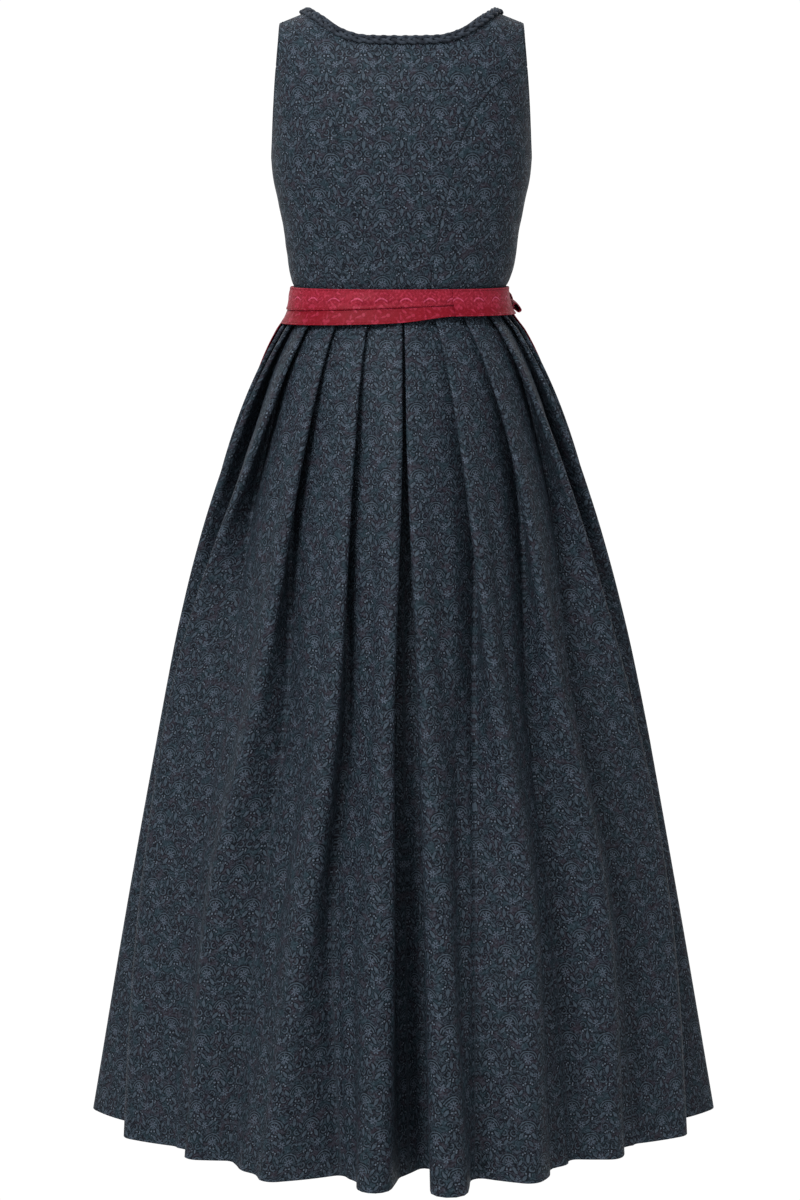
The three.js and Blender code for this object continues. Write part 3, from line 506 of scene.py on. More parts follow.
def wall(name, outer, inner, uv, material, crease, closed):
    """A cloth wall: a grid of outer points over one of inner points, joined round their open edges."""
    if closed:
        outer, inner, uv = outer[:, :-1], inner[:, :-1], uv[:, :-1]
    rows, columns = outer.shape[:2]
    grid = np.arange(rows * columns).reshape(rows, columns)
    if closed:
        grid = np.hstack([grid, grid[:, :1]])
    other = grid + rows * columns
    faces = [
        quads(grid[:-1, :-1], grid[:-1, 1:], grid[1:, 1:], grid[1:, :-1]),
        quads(other[:-1, :-1], other[1:, :-1], other[1:, 1:], other[:-1, 1:]),
        quads(other[0, :-1], other[0, 1:], grid[0, 1:], grid[0, :-1]),
        quads(grid[-1, :-1], grid[-1, 1:], other[-1, 1:], other[-1, :-1]),
    ]
    if not closed:
        faces.append(quads(grid[:-1, 0], grid[1:, 0], other[1:, 0], other[:-1, 0]))
        faces.append(quads(grid[:-1, -1], other[:-1, -1], other[1:, -1], grid[1:, -1]))
    faces = np.vstack(faces)
    points = in_metres(np.concatenate([outer.reshape(-1, 3), inner.reshape(-1, 3)]))
    a, b, c, d = (points[faces[:, k]] for k in range(4))
    if np.einsum("ij,ij->", a, np.cross(b, c)) + np.einsum("ij,ij->", a, np.cross(c, d)) < 0:
        faces = faces[:, ::-1]
    both = np.concatenate([uv.reshape(-1, 2)] * 2) / 1000
    made = mesh_object(name, points.tolist(), faces.tolist(), material, both)
    made.data.set_sharp_from_angle(angle=math.radians(crease))
    return made


def sew(name, node, outer, inner, uv, material, crease=50, closed=False):
    """Makes a cloth piece in place of its plain solid and works out the size of the sheet that it was cut
    from.
    """
    piece = wall(name, outer, inner, uv, material, crease, closed)
    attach(piece, "root")
    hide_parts(node)
    width, length = np.ptp(uv[..., 0]) / 1000, np.ptp(uv[..., 1]) / 1000
    across, up = outer[:-1, 1:] - outer[:-1, :-1], outer[1:, :-1] - outer[:-1, :-1]
    area = np.linalg.norm(np.cross(across, up), axis=-1).sum() / 1e6
    area = float(np.clip(area, 0.3 * width * length, width * length))


class Weave(Finish):
    """A jacquard cloth with the figures that are woven into it, placed by the piece's own cut."""

    def __init__(self, name, sway_scale, sway_reach):
        super().__init__(name)
        self.cut = self.node("ShaderNodeUVMap", {"uv_map": "cut"}, {})
        sway = self.noise(self.cut, sway_scale, 1.0, "Color")
        sway = self.vector("SUBTRACT", {0: sway, 1: (0.5, 0.5, 0.5)})
        sway = self.vector("SCALE", {0: sway, "Scale": sway_reach})
        self.bent = self.vector("ADD", {0: self.cut, 1: sway})
        self.x = self.axis(self.bent, 0) * 1000.0
        self.y = self.axis(self.bent, 1) * 1000.0

    def apart(self, p, x, y):
        return self.vector("DISTANCE", {0: p, 1: (x, y, 0)}, "Value")

    def side(self, p, angle, x, y):
        """How far p lies past the place x, y in the direction of an angle."""
        way = (math.cos(math.radians(angle)), math.sin(math.radians(angle)), 0)
        return self.vector("DOT_PRODUCT", {0: p, 1: way}, "Value") - (way[0] * x + way[1] * y)

    def leaf(self, p, x, y, angle, long, wide):
        along = self.side(p, angle, x, y) / long
        return wide * (1 - along * along) - abs(self.side(p, angle + 90, x, y))

    def arc(self, p, x, y, radius, width, facing, open_at):
        ring = width - abs(self.apart(p, x, y) - radius)
        return ring.least(self.side(p, facing, x, y) - open_at)

    def flower(self, p, radius, petals, depth, eye):
        turn = self.axis(p, 1)._math("ARCTAN2", self.axis(p, 0))
        edge = (1 - depth + depth * (turn * float(petals)).cos()) * radius
        return (edge - self.apart(p, 0, 0)).least(self.apart(p, 0, 0) - eye)

    def threads(self, stretch):
        return self.noise(self.node("ShaderNodeMapping", {}, {0: self.cut, "Scale": stretch}), 900.0, 1.0)


def most_of(*figures):
    top = figures[0]
    for figure in figures[1:]:
        top = top.most(figure)
    return top


# The jacquard's repeat is 44 mm wide in rows 39 mm apart, each row shifted by half a repeat: ring flowers
# under double arches, pairs of leaves, star sprigs, curls and dots, in grey-teal on navy with near-black
# outlines.
REPEAT, ROW = 44.0, 39.0


def jacquard(name, shade):
    cloth = Weave(name, 70.0, 0.0028)
    x, y, cut = cloth.x, cloth.y, cloth.cut

    def cell(x_shift, y_shift):
        """Places in mm from the middle of a repeat, its left half mirrored on the right one."""
        row = (y / ROW + y_shift).floor()
        across = (x / REPEAT + (row % 2.0) * 0.5 + x_shift) % 1.0
        up = (y / ROW + y_shift) % 1.0
        left = abs(across - 0.5) * REPEAT
        return cloth.node("ShaderNodeCombineXYZ", {}, {0: left, 1: (up - 0.5) * ROW})

    a, b, c = cell(0.0, 0.0), cell(0.5, 0.0), cell(0.25, 0.5)
    leaves = most_of(*[cloth.leaf(*values) for values in (
        (a, 7.6, -8.4, -52, 5.2, 2.0), (a, 13.6, 1.5, 62, 4.6, 1.7),
        (b, 0, 5.5, 90, 5.4, 2.1), (c, 7.4, 3.2, 52, 4.4, 1.8),
    )])
    scrolls = most_of(*[cloth.arc(*values) for values in (
        (a, 0, -1.2, 7.6, 0.75, 90, 1.0), (a, 0, -1.2, 10.3, 0.65, 90, 2.0),
        (b, 5.2, -5.6, 3.3, 0.75, 215, -1.2), (c, 15.6, -2.4, 2.9, 0.7, 120, -0.9),
    )])
    blooms = cloth.flower(a, 5.6, 8, 0.42, 0.9).most(cloth.flower(c, 4.6, 6, 0.4, 0.8))
    dots = most_of(*[radius - cloth.apart(*place) for radius, *place in (
        (1.15, a, 2.1, -8.2), (1.0, b, 3.0, 12.0), (1.05, a, 16.8, 10.4),
        (1.0, c, 12.5, 6.4), (0.95, b, 1.9, -11.2),
    )])
    ink = most_of(leaves, scrolls, blooms, dots)
    raised = ink.rise(-0.25, 0.3)
    outline = ink.rise(-1.5, -0.7) * (1 - raised)
    cloud = cloth.noise(cut, 34.0, 3.0)
    small = cloth.noise(cut, 260.0, 2.0)
    thread = cloth.threads((1.0, 5.0, 1.0))

    def tone(red, green, blue):
        """A colour of the yarns, dyed a little cooler and as deep as the cloth's shade."""
        return paint(0.96 * red * shade, green * shade, 1.04 * blue * shade)

    swirl = abs((cloth.noise(cloth.bent, 95.0, 1.5) * 9.0) % 1.0 - 0.5)
    ground = cloth.blend(cloud.rise(0.35, 0.65), tone(46, 48, 61), tone(42, 53, 62))
    ground = cloth.blend(swirl.rise(0.26, 0.42) * 0.6, ground, tone(84, 97, 107))
    ground = cloth.blend((1 - swirl.rise(0.07, 0.2)) * 0.85, ground, tone(16, 19, 27))
    patch = cloth.noise(cut, 62.0, 2.0)
    ground = cloth.blend(patch.rise(0.52, 0.62) * 0.5, ground, tone(72, 60, 70))
    ground = cloth.blend((1 - patch.rise(0.38, 0.47)) * 0.5, ground, tone(48, 74, 82))
    colour = cloth.blend(outline * 0.95, ground, tone(10, 13, 20))
    motif = cloth.blend(small.rise(0.3, 0.7), tone(74, 89, 100), tone(94, 105, 116))
    colour = cloth.blend(leaves.most(scrolls).rise(-0.35, 0.45) * 0.9, colour, motif)
    colour = cloth.blend(blooms.rise(-0.35, 0.45) * 0.9, colour, tone(112, 122, 136))
    colour = cloth.blend(dots.rise(-0.25, 0.3) * 0.8, colour, tone(134, 144, 156))
    fleck = cloth.noise(cut, 300.0, 2.0)
    colour = cloth.blend(fleck.rise(0.53, 0.66) * 0.4, colour, tone(108, 122, 134))
    colour = cloth.blend((1 - fleck.rise(0.34, 0.46)) * 0.5, colour, tone(12, 15, 22))
    colour = cloth.blend(thread.rise(0.45, 0.75) * 0.15, colour, tone(24, 27, 34))
    colour = cloth.blend(small.rise(0.5, 0.75) * 0.2, colour, tone(28, 33, 42))
    roughness = 0.62 - raised * 0.14 + small * 0.1
    relief = raised * 0.55 + thread * 0.45
    return cloth.surface(colour, roughness, relief, 0.0002, **{"Specular IOR Level": 0.06})


dress_cloth = jacquard("dress_jacquard", 0.58)

# Soft drag lines that the waist and the shoulder blades leave: turn, height, half length and half height in
# millimetres, depth, and tilt. Those of the front are like those of the back.
BODICE_CREASES = [
    (-62, 1022, 34, 5.0, 1.3, 0.22), (-38, 1034, 40, 6.5, 1.0, -0.12), (-12, 1016, 30, 4.5, 0.9, 0.05),
    (20, 1026, 38, 6.0, 1.1, -0.10), (46, 1018, 30, 4.5, 1.2, 0.16), (70, 1040, 36, 6.0, 1.2, -0.20),
    (64, 1086, 44, 9.0, 1.2, -0.35), (-66, 1078, 42, 8.0, 1.2, 0.34), (-28, 1240, 46, 10, 0.9, 0.15),
    (34, 1224, 50, 11, 1.0, -0.18), (118, 1026, 34, 5.0, 1.2, 0.16), (-118, 1030, 34, 5.5, 1.2, -0.16),
    (150, 1020, 30, 4.5, 1.0, -0.08), (-148, 1018, 32, 4.5, 1.0, 0.10), (128, 1096, 40, 9.0, 1.2, 0.35),
    (-130, 1090, 42, 9.0, 1.2, -0.32),
]
CREASE_RADIUS, CREASE_SAG = 125, 0.0016
BACK_SEWN_TO, FRONT_SEWN_TO, SEAM_END = 1254, 1215, 14
SEAM_DIP, SEAM_WIDTH = 1.3, 1.3
SEAM_ROLL, ROLL_AT, ROLL_WIDTH = 0.22, 4, 2.2


def bodice_relief(turn, height):
    """How far the bodice's cloth stands out in the drag lines: each a trough with a lower swell over it."""
    depth = np.zeros_like(turn)
    for at, level, long, tall, deep, tilt in BODICE_CREASES:
        across = (turn - math.radians(at)) * CREASE_RADIUS
        up = height - level - tilt * across - CREASE_SAG * across**2
        depth -= deep * np.exp(-((across / long) ** 2) - (up / tall) ** 2)
        depth += 0.6 * deep * np.exp(-((across / long) ** 2) - ((up - 2.2 * tall) / tall) ** 2)
    return depth


def bodice_panel(name, bottom, top, start, end, grain, shift, sewn_to):
    """A panel between four edges. bottom and top run the same way; so do start and end, from the waist up."""
    columns = spaced(72)
    rows = spaced(96, ends=())
    u, w = np.meshgrid(columns, rows)
    v = w**2.2
    low, high = along_path(bottom, columns)[None], along_path(top, columns)[None]
    left, right = along_path(start, rows)[:, None], along_path(end, rows)[:, None]
    u, v = u[..., None], v[..., None]
    places = (1 - v) * low + v * high + (1 - u) * left + u * right
    places -= (1 - u) * ((1 - v) * bottom[0] + v * top[0]) + u * ((1 - v) * bottom[-1] + v * top[-1])
    turn, rise = places[..., 0], places[..., 1]
    surface = bodice_surface(turn, rise)
    normal = bodice_normal(turn, np.minimum(rise, 1.99))
    dip = np.zeros_like(turn)
    for edge in (surface[:, :1], surface[:, -1:]):
        away = np.linalg.norm(surface - edge, axis=-1)
        dip -= SEAM_DIP * np.exp(-((away / SEAM_WIDTH) ** 2))
        dip += SEAM_ROLL * np.exp(-(((away - ROLL_AT) / ROLL_WIDTH) ** 2))
    dip *= np.clip((sewn_to - surface[..., 2]) / SEAM_END, 0, 1)
    out = (dip + bodice_relief(turn, surface[..., 2]))[..., None]
    outer, inner = surface + normal * out, surface + normal * (out - CLOTH)
    across = np.sign(turn) * sampled(grain_across, turn, rise)
    grain_turn = np.full_like(turn, math.radians(grain))
    across -= np.sign(grain) * sampled(grain_across, grain_turn, rise)
    uv = np.stack([across + shift[0], sampled(grain_up, turn, rise) + shift[1]], -1)
    sew(name, "bodice_" + name, outer, inner, uv, dress_cloth)


back_side = joined(back_princess, back_armhole)
half_top = joined(strap_top(back_place, 2), back_neck[::-1])
whole_top = joined(half_top, turned(half_top)[::-1])
across_back = sideways(back_side[0], turned(back_side)[0], len(whole_top))
edges = (across_back, whole_top, back_side, turned(back_side))
bodice_panel("back_centre", *edges, 0, (0, 0), BACK_SEWN_TO)

for sign, hand in ((1, "left"), (-1, "right")):
    turn_over = turned if sign < 0 else np.array
    panels = [
        (f"back_side_{hand}", back_princess, side_seam, back_underarm, 62, (9, 14), BACK_SEWN_TO),
        (f"front_side_{hand}", front_princess, side_seam, front_underarm, 122, (17, 25), FRONT_SEWN_TO),
    ]
    for name, princess, seam, underarm, grain, shift, sewn_to in panels:
        across = sideways(princess[0], seam[0], len(underarm))
        edges = [turn_over(path) for path in (across, underarm, princess, seam)]
        bodice_panel(name, *edges, sign * grain, (sign * shift[0], shift[1]), sewn_to)
    front_side = joined(front_princess, front_armhole)
    front_middle = joined(front_edge, front_neck)
    straps = strap_top(front_place, 6)
    across = sideways(front_side[0], front_middle[0], len(straps))
    edges = [turn_over(path) for path in (across, straps, front_side, front_middle)]
    bodice_panel(f"front_{hand}", *edges, sign * 165, (sign * 5, 8), FRONT_SEWN_TO)

# Neckline trim. A flat plait of three strands of the dress cloth, sewn on along the whole neckline just
# inside a narrow bound edge. The strands and the binding are swept along their paths.
EDGE_STEP, EDGE_GAP, EDGE_SOFTEN = 1.1, 0.4, 9


def edge_run(path):
    """Places, normals and directions into the cloth along an edge of the bodice, with the length so far."""
    points = bodice_surface(path[:, 0], path[:, 1])
    normals = bodice_normal(path[:, 0], np.minimum(path[:, 1], 1.99))
    steps = np.linalg.norm(np.diff(points, axis=0), axis=1)
    kept = np.concatenate([[True], steps > 1e-6])
    points, normals = points[kept], normals[kept]
    lengths = lengths_along(points, 0)
    even = np.linspace(EDGE_GAP, lengths[-1] - EDGE_GAP, round(lengths[-1] / EDGE_STEP))
    along = lambda values: np.stack([np.interp(even, lengths, values[:, k]) for k in range(3)], -1)
    points, normals = along(points), along(normals)
    soften, margin = np.ones(EDGE_SOFTEN) / EDGE_SOFTEN, EDGE_SOFTEN // 2
    for k in range(3):
        normals[margin:-margin, k] = np.convolve(normals[:, k], soften, "valid")
    normals /= np.linalg.norm(normals, axis=1, keepdims=True)
    inward = np.cross(np.gradient(points, axis=0), normals)
    inward /= np.linalg.norm(inward, axis=1, keepdims=True)
    away = np.einsum("ij,ij->", inward, points - points.mean(axis=0))
    return points, normals, inward * np.sign(away), even


def path_object(name, paths):
    data = bpy.data.curves.new(name, "CURVE")
    data.dimensions = "3D"
    for path in paths:
        spline = data.splines.new("POLY")
        spline.points.add(len(path) - 1)
        spline.points.foreach_set("co", np.pad(path, ((0, 0), (0, 1)), constant_values=1).ravel())
    made = bpy.data.objects.new(name, data)
    bpy.context.collection.objects.link(made)
    return made


class Growth:
    """A tree of geometry nodes with named inputs, and the mesh that it makes from a path."""

    def __init__(self, name, **sizes):
        self.tree = bpy.data.node_groups.new(name, "GeometryNodeTree")
        self.tree.interface.new_socket("Geometry", in_out="INPUT", socket_type="NodeSocketGeometry")
        self.tree.interface.new_socket("Geometry", in_out="OUTPUT", socket_type="NodeSocketGeometry")
        self.sizes = {}
        for size in sizes:
            socket = self.tree.interface.new_socket(size, in_out="INPUT", socket_type="NodeSocketFloat")
            self.sizes[size] = (socket.identifier, sizes[size])
        self.inputs = self.tree.nodes.new("NodeGroupInput")
        self.path = self.inputs.outputs["Geometry"]

    def size(self, name):
        return self.inputs.outputs[name]

    def node(self, kind, settings, inputs, output=0):
        return add_node(self.tree, kind, settings, inputs).outputs[output]

    def grow(self, name, geometry, paths, material):
        """Ends the tree, runs it along the paths and keeps the result as a plain mesh."""
        real = self.node("GeometryNodeRealizeInstances", {}, {"Geometry": geometry})
        last = self.node("GeometryNodeSetMaterial", {}, {"Geometry": real, "Material": material})
        end = self.tree.nodes.new("NodeGroupOutput")
        self.tree.links.new(last, end.inputs["Geometry"])
        source = path_object(name + "_path", paths)
        modifier = source.modifiers.new("growth", "NODES")
        modifier.node_group = self.tree
        for identifier, value in self.sizes.values():
            modifier[identifier] = value
        graph = bpy.context.evaluated_depsgraph_get()
        mesh = bpy.data.meshes.new_from_object(source.evaluated_get(graph), depsgraph=graph)
        source.modifiers.remove(modifier)
        bpy.data.objects.remove(source)
        mesh.name = name
        made = bpy.data.objects.new(name, mesh)
        bpy.context.collection.objects.link(made)
        return made


def swept(name, paths, radius, sides, material):
    """A round strand along each path."""
    growth = Growth(name + "_sweep", radius=radius)
    ring = growth.node(
        "GeometryNodeCurvePrimitiveCircle", {}, {"Resolution": sides, "Radius": growth.size("radius")}
    )
    values = {"Curve": growth.path, "Profile Curve": ring, "Fill Caps": True}
    tube = growth.node("GeometryNodeCurveToMesh", {}, values)
    smooth = growth.node("GeometryNodeSetShadeSmooth", {}, {"Geometry": tube, "Shade Smooth": True})
    return growth.grow(name, smooth, paths, material)


def stitched(name, paths, material):
    """A row of single stitches along each path."""
    growth = Growth(name + "_row", step=0.0034, long=0.0024, thick=0.00022)
    row = growth.node(
        "GeometryNodeResampleCurve", {"mode": "LENGTH"}, {"Curve": growth.path, "Length": growth.size("step")}
    )
    values = {"Vertices": 5, "Radius": growth.size("thick"), "Depth": growth.size("long")}
    thread = growth.node("GeometryNodeMeshCylinder", {}, values)
    way = growth.node("GeometryNodeInputTangent", {}, {})
    lie = growth.node("FunctionNodeAlignRotationToVector", {"axis": "Z"}, {"Vector": way})
    values = {"Points": row, "Instance": thread, "Rotation": lie}
    set_on = growth.node("GeometryNodeInstanceOnPoints", {}, values)
    return growth.grow(name, set_on, paths, material)


def plain_weave(name, light, dark, roughness):
    """Plain dark cloth with a fine weave, patterned by place."""
    cloth = Finish(name)
    where = cloth.node("ShaderNodeTexCoord", {}, {}, "Object")
    cloud = cloth.noise(where, 160.0, 3.0)
    thread = cloth.noise(where, 1500.0, 1.0)
    colour = cloth.blend(cloud.rise(0.35, 0.65), light, dark)
    return cloth.surface(colour, roughness + thread * 0.12, thread, 0.00025, **{
        "Sheen Weight": 0.02, "Sheen Roughness": 0.5, "Specular IOR Level": 0.08,
    })


PLAIT_LENGTH = 36.0
PLAIT_MIDDLE, PLAIT_SWAY = 6.5, 3.7
PLAIT_RISE, PLAIT_BOB = 2.2, 1.1
BINDING_INSIDE, BINDING_SUNK = 0.7, 0.1
strand_cloth = plain_weave("plait_cloth", paint(40, 46, 54), paint(20, 24, 31), 0.6)
neck_runs = [along_path(run, np.linspace(0, 1, 500)) for run in (front_neck, back_neck[::-1])]
neck_left = joined(*neck_runs)
points, normals, inward, even = edge_run(joined(neck_left, turned(neck_left)[::-1]))
strands = []
for strand in range(3):
    phase = 2 * math.pi * (even / PLAIT_LENGTH + strand / 3)
    across = (PLAIT_MIDDLE + PLAIT_SWAY * np.sin(phase))[:, None]
    above = (PLAIT_RISE + PLAIT_BOB * np.sin(2 * phase))[:, None]
    strands.append(in_metres(points + inward * across + normals * above))
plait = swept("neck_plait", strands, 0.0021, 10, strand_cloth)
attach(plait, "root")
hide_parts("neck_braid")

edge_cloth = plain_weave("edge_cloth", paint(22, 26, 32), paint(14, 17, 22), 0.6)
edge_path = in_metres(points + inward * BINDING_INSIDE - normals * BINDING_SUNK)
binding = swept("neck_binding", [edge_path], 0.0011, 10, edge_cloth)
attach(binding, "root")

# Armholes: a row of stitches where their turned edges are sewn down.
ARMHOLE_TURN, STITCH_LIFT = 3.5, 0.12
armhole = joined(back_armhole[::-1], back_underarm, front_underarm[::-1], front_armhole)
armhole_rows = []
for path in (armhole, turned(armhole)):
    points, normals, inward, _ = edge_run(path)
    armhole_rows.append(in_metres(points + inward * ARMHOLE_TURN + normals * STITCH_LIFT))
armhole_stitches = stitched("armhole_stitches", armhole_rows, edge_cloth)
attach(armhole_stitches, "root")

# Skirt. Four widths of the dress cloth laid in knife pleats that all face centre back. Each level section is
# one strip of cloth that runs over a peg at each fold edge and round one behind it; the pegs grow to the hem.
PLEAT_CLOTH = 1.1
skirt_sizes = curves(table(
    "height half back front corner",
    (WAIST_EDGE, 124.5, 88, 87, 0.04),
    (964, 132.5, 93.5, 92, 0.04),
    (946, 146, 104.5, 103, 0.03),
    (905, 169, 129, 125, 0.01),
    (850, 193.5, 156, 149, -0.01),
    (780, 218.5, 182, 173, -0.02),
    (690, 245, 209, 199, -0.03),
    (560, 276.5, 238, 229, -0.04),
    (400, 308.5, 271, 263, -0.045),
    (220, 342.5, 306, 298, -0.05),
    (0, 381, 343, 335, -0.05),
))
pleat_sizes = curves(table(
    "height depth crest valley",
    (985, 11.5, 1.8, 1.8),
    (905, 20, 2.6, 2.4),
    (820, 33, 4.2, 3.2),
    (540, 44, 9, 6),
    (300, 44, 16, 11),
    (0, 44, 21, 15),
))
FOLD_HEIGHTS = (985, 820, 540, 300, 0)

# Turns of the fold edges at those heights, from centre back to the front.
side_crests = [
    (87, 95, 108, 109, 108), (108, 113, 124, 125.5, 126), (130, 134, 141, 142, 144),
    (153, 156, 160, 160, 162),
]
left_crests = [
    (0.5, 1, 3.5, 4.2, 4.9), (17.8, 16.8, 17, 21, 25), (33.5, 35.5, 39, 46, 46.5), (49.5, 58.5, 76, 75, 67),
    (66.5, 78, 92, 93, 89.5), *side_crests,
]
right_crests = [
    (2.3, 3, 5.8, 7.5, 8), (17.8, 21, 24, 27, 24), (33, 40.7, 43, 49, 47), (50.5, 62, 72, 77, 69),
    (67, 79, 91, 94, 90), *side_crests,
]
# Turns of the valleys at thigh, calf and hem, their depths at calf and hem, and how far the edge stands out.
side_valleys = [
    (99.5, 100.5, 98.5, 42, 45, 0), (115.5, 116.5, 117, 42, 45, 0), (132, 133, 135, 42, 45, 0),
    (150, 150.5, 153, 42, 45, 0),
]
left_valleys = [
    (1.5, 0, -1.5, 52, 60, 3), (15, 16, 12.8, 45, 52, -3), (34.5, 36, 38.5, 42, 44, -20),
    (60, 60, 55, 44, 42, -13), (83.5, 84, 77, 42, 40, 0), *side_valleys,
]
right_valleys = [
    (3.8, 4.5, 5.2, 66, 84, 20), (20.5, 17.3, 15, 36, 38, 0), (38.5, 39.4, 38.5, 48, 50, -20),
    (57, 61, 57, 42, 44, -13), (81.5, 85.5, 78.5, 42, 42, 0), *side_valleys,
]
LAST_TURN = 172
SIDE_FOLD = 4
ARC_STEPS = 6
LEG_STEPS = {"face": 12, "back": 6, "underlay": 6, "front": 16}

levels = np.concatenate([
    np.linspace(985, 945, 14), np.linspace(940, 820, 19), np.linspace(811, 540, 28), np.linspace(529, 30, 44),
    [20, 11, 4, 0],
])


def half_pegs(side, crests, valleys):
    """The pegs of one half, from centre back to centre front, at every level."""
    common = values_at(pleat_sizes, levels)
    low = np.clip(1 - levels / FOLD_HEIGHTS[2], 0, 1)
    pegs = []
    for fold, (crest, valley) in enumerate(zip(crests, valleys)):
        after = crests[fold + 1] if fold + 1 < len(crests) else (LAST_TURN, LAST_TURN)
        thigh, calf, hem, calf_depth, hem_depth, hem_out = valley
        under = (0.5 * crest[0] + 0.5 * after[0], 0.7 * crest[1] + 0.3 * after[1], thigh, calf, hem)
        depth = common["depth"].copy()
        for i in np.flatnonzero(levels < FOLD_HEIGHTS[2]):
            depths = (common["depth"][i], calf_depth, hem_depth)
            depth[i] = curve(FOLD_HEIGHTS[2:], depths)(levels[i])
        pegs.append(dict(
            kind="valley", side=side, fold=fold, sense=1, radius=common["valley"],
            turn=side * np.radians(curve(FOLD_HEIGHTS, under)(levels)), out=-depth,
        ))
        pegs.append(dict(
            kind="crest", side=side, fold=fold, sense=-1, radius=common["crest"],
            turn=side * np.radians(curve(FOLD_HEIGHTS, crest)(levels)), out=hem_out * low * low,
        ))
    return pegs


# Creases that the fall of the cloth leaves on the pleat faces, each a soft trough: side, fold of the
# face, place across the face at its top and bottom (0 at the fold edge), heights of its ends, depth and
# half width.
SKIRT_CREASES = [
    (1, 0, 0.34, 0.42, 800, 250, 3.0, 10), (1, 0, 0.66, 0.60, 620, 0, 5.0, 15),
    (1, 1, 0.30, 0.36, 760, 330, 3.4, 11), (1, 1, 0.58, 0.66, 560, 60, 6.5, 17),
    (1, 1, 0.25, 0.20, 330, -60, 4.5, 15), (1, 2, 0.24, 0.30, 880, 520, 2.6, 9),
    (1, 2, 0.46, 0.55, 690, 240, 6.0, 18), (1, 2, 0.76, 0.72, 480, -50, 7.0, 18),
    (1, 2, 0.28, 0.24, 300, -60, 5.5, 16), (1, 3, 0.40, 0.34, 800, 380, 4.0, 14),
    (1, 3, 0.60, 0.52, 520, -40, 8.0, 22), (1, 4, 0.42, 0.50, 700, 120, 6.0, 18),
    (1, 5, 0.55, 0.45, 640, 40, 6.0, 17), (1, 6, 0.40, 0.50, 560, -30, 6.5, 18),
    (1, 7, 0.55, 0.60, 700, 160, 5.0, 16),
    (-1, 0, 0.30, 0.36, 780, 420, 2.8, 10), (-1, 0, 0.62, 0.55, 560, 20, 6.0, 16),
    (-1, 1, 0.26, 0.34, 800, 420, 3.0, 10), (-1, 1, 0.56, 0.50, 520, -60, 7.0, 18),
    (-1, 1, 0.80, 0.78, 380, 20, 5.0, 13), (-1, 2, 0.36, 0.30, 700, 260, 5.0, 15),
    (-1, 2, 0.64, 0.70, 470, -60, 7.5, 19), (-1, 3, 0.38, 0.44, 860, 420, 3.6, 13),
    (-1, 3, 0.62, 0.56, 560, -20, 7.5, 20), (-1, 4, 0.46, 0.40, 660, 80, 6.0, 18),
    (-1, 5, 0.45, 0.55, 600, 20, 6.0, 17), (-1, 6, 0.52, 0.44, 640, 60, 6.0, 18),
    (-1, 7, 0.45, 0.40, 520, -40, 6.0, 17),
]
CREASE_DEPTH = 1.35


def face_relief(side, fold, share, length):
    """How far the cloth of a pleat face stands out at shares of its width, at every level."""
    relief = np.zeros((len(share), len(levels)))
    for crease_side, crease_fold, top_at, low_at, top, low, deep, half in SKIRT_CREASES:
        if (crease_side, crease_fold) != (side, fold):
            continue
        down = np.clip((top - levels) / (top - low), 0, 1)
        at = top_at + (low_at - top_at) * down + 0.03 * np.sin(7 * down + fold)
        strength = np.sin(math.pi * np.clip(down, 0, 1) ** 0.8) ** 0.8 if low > 0 else np.sin(QUARTER * down)
        across = (share[:, None] - at) * length
        relief -= CREASE_DEPTH * deep * strength * np.exp(-((across / half) ** 2))
        relief += 0.45 * CREASE_DEPTH * deep * strength * np.exp(-(((across - 1.9 * half) / half) ** 2))
    return relief * np.sin(math.pi * share[:, None]) ** 0.5


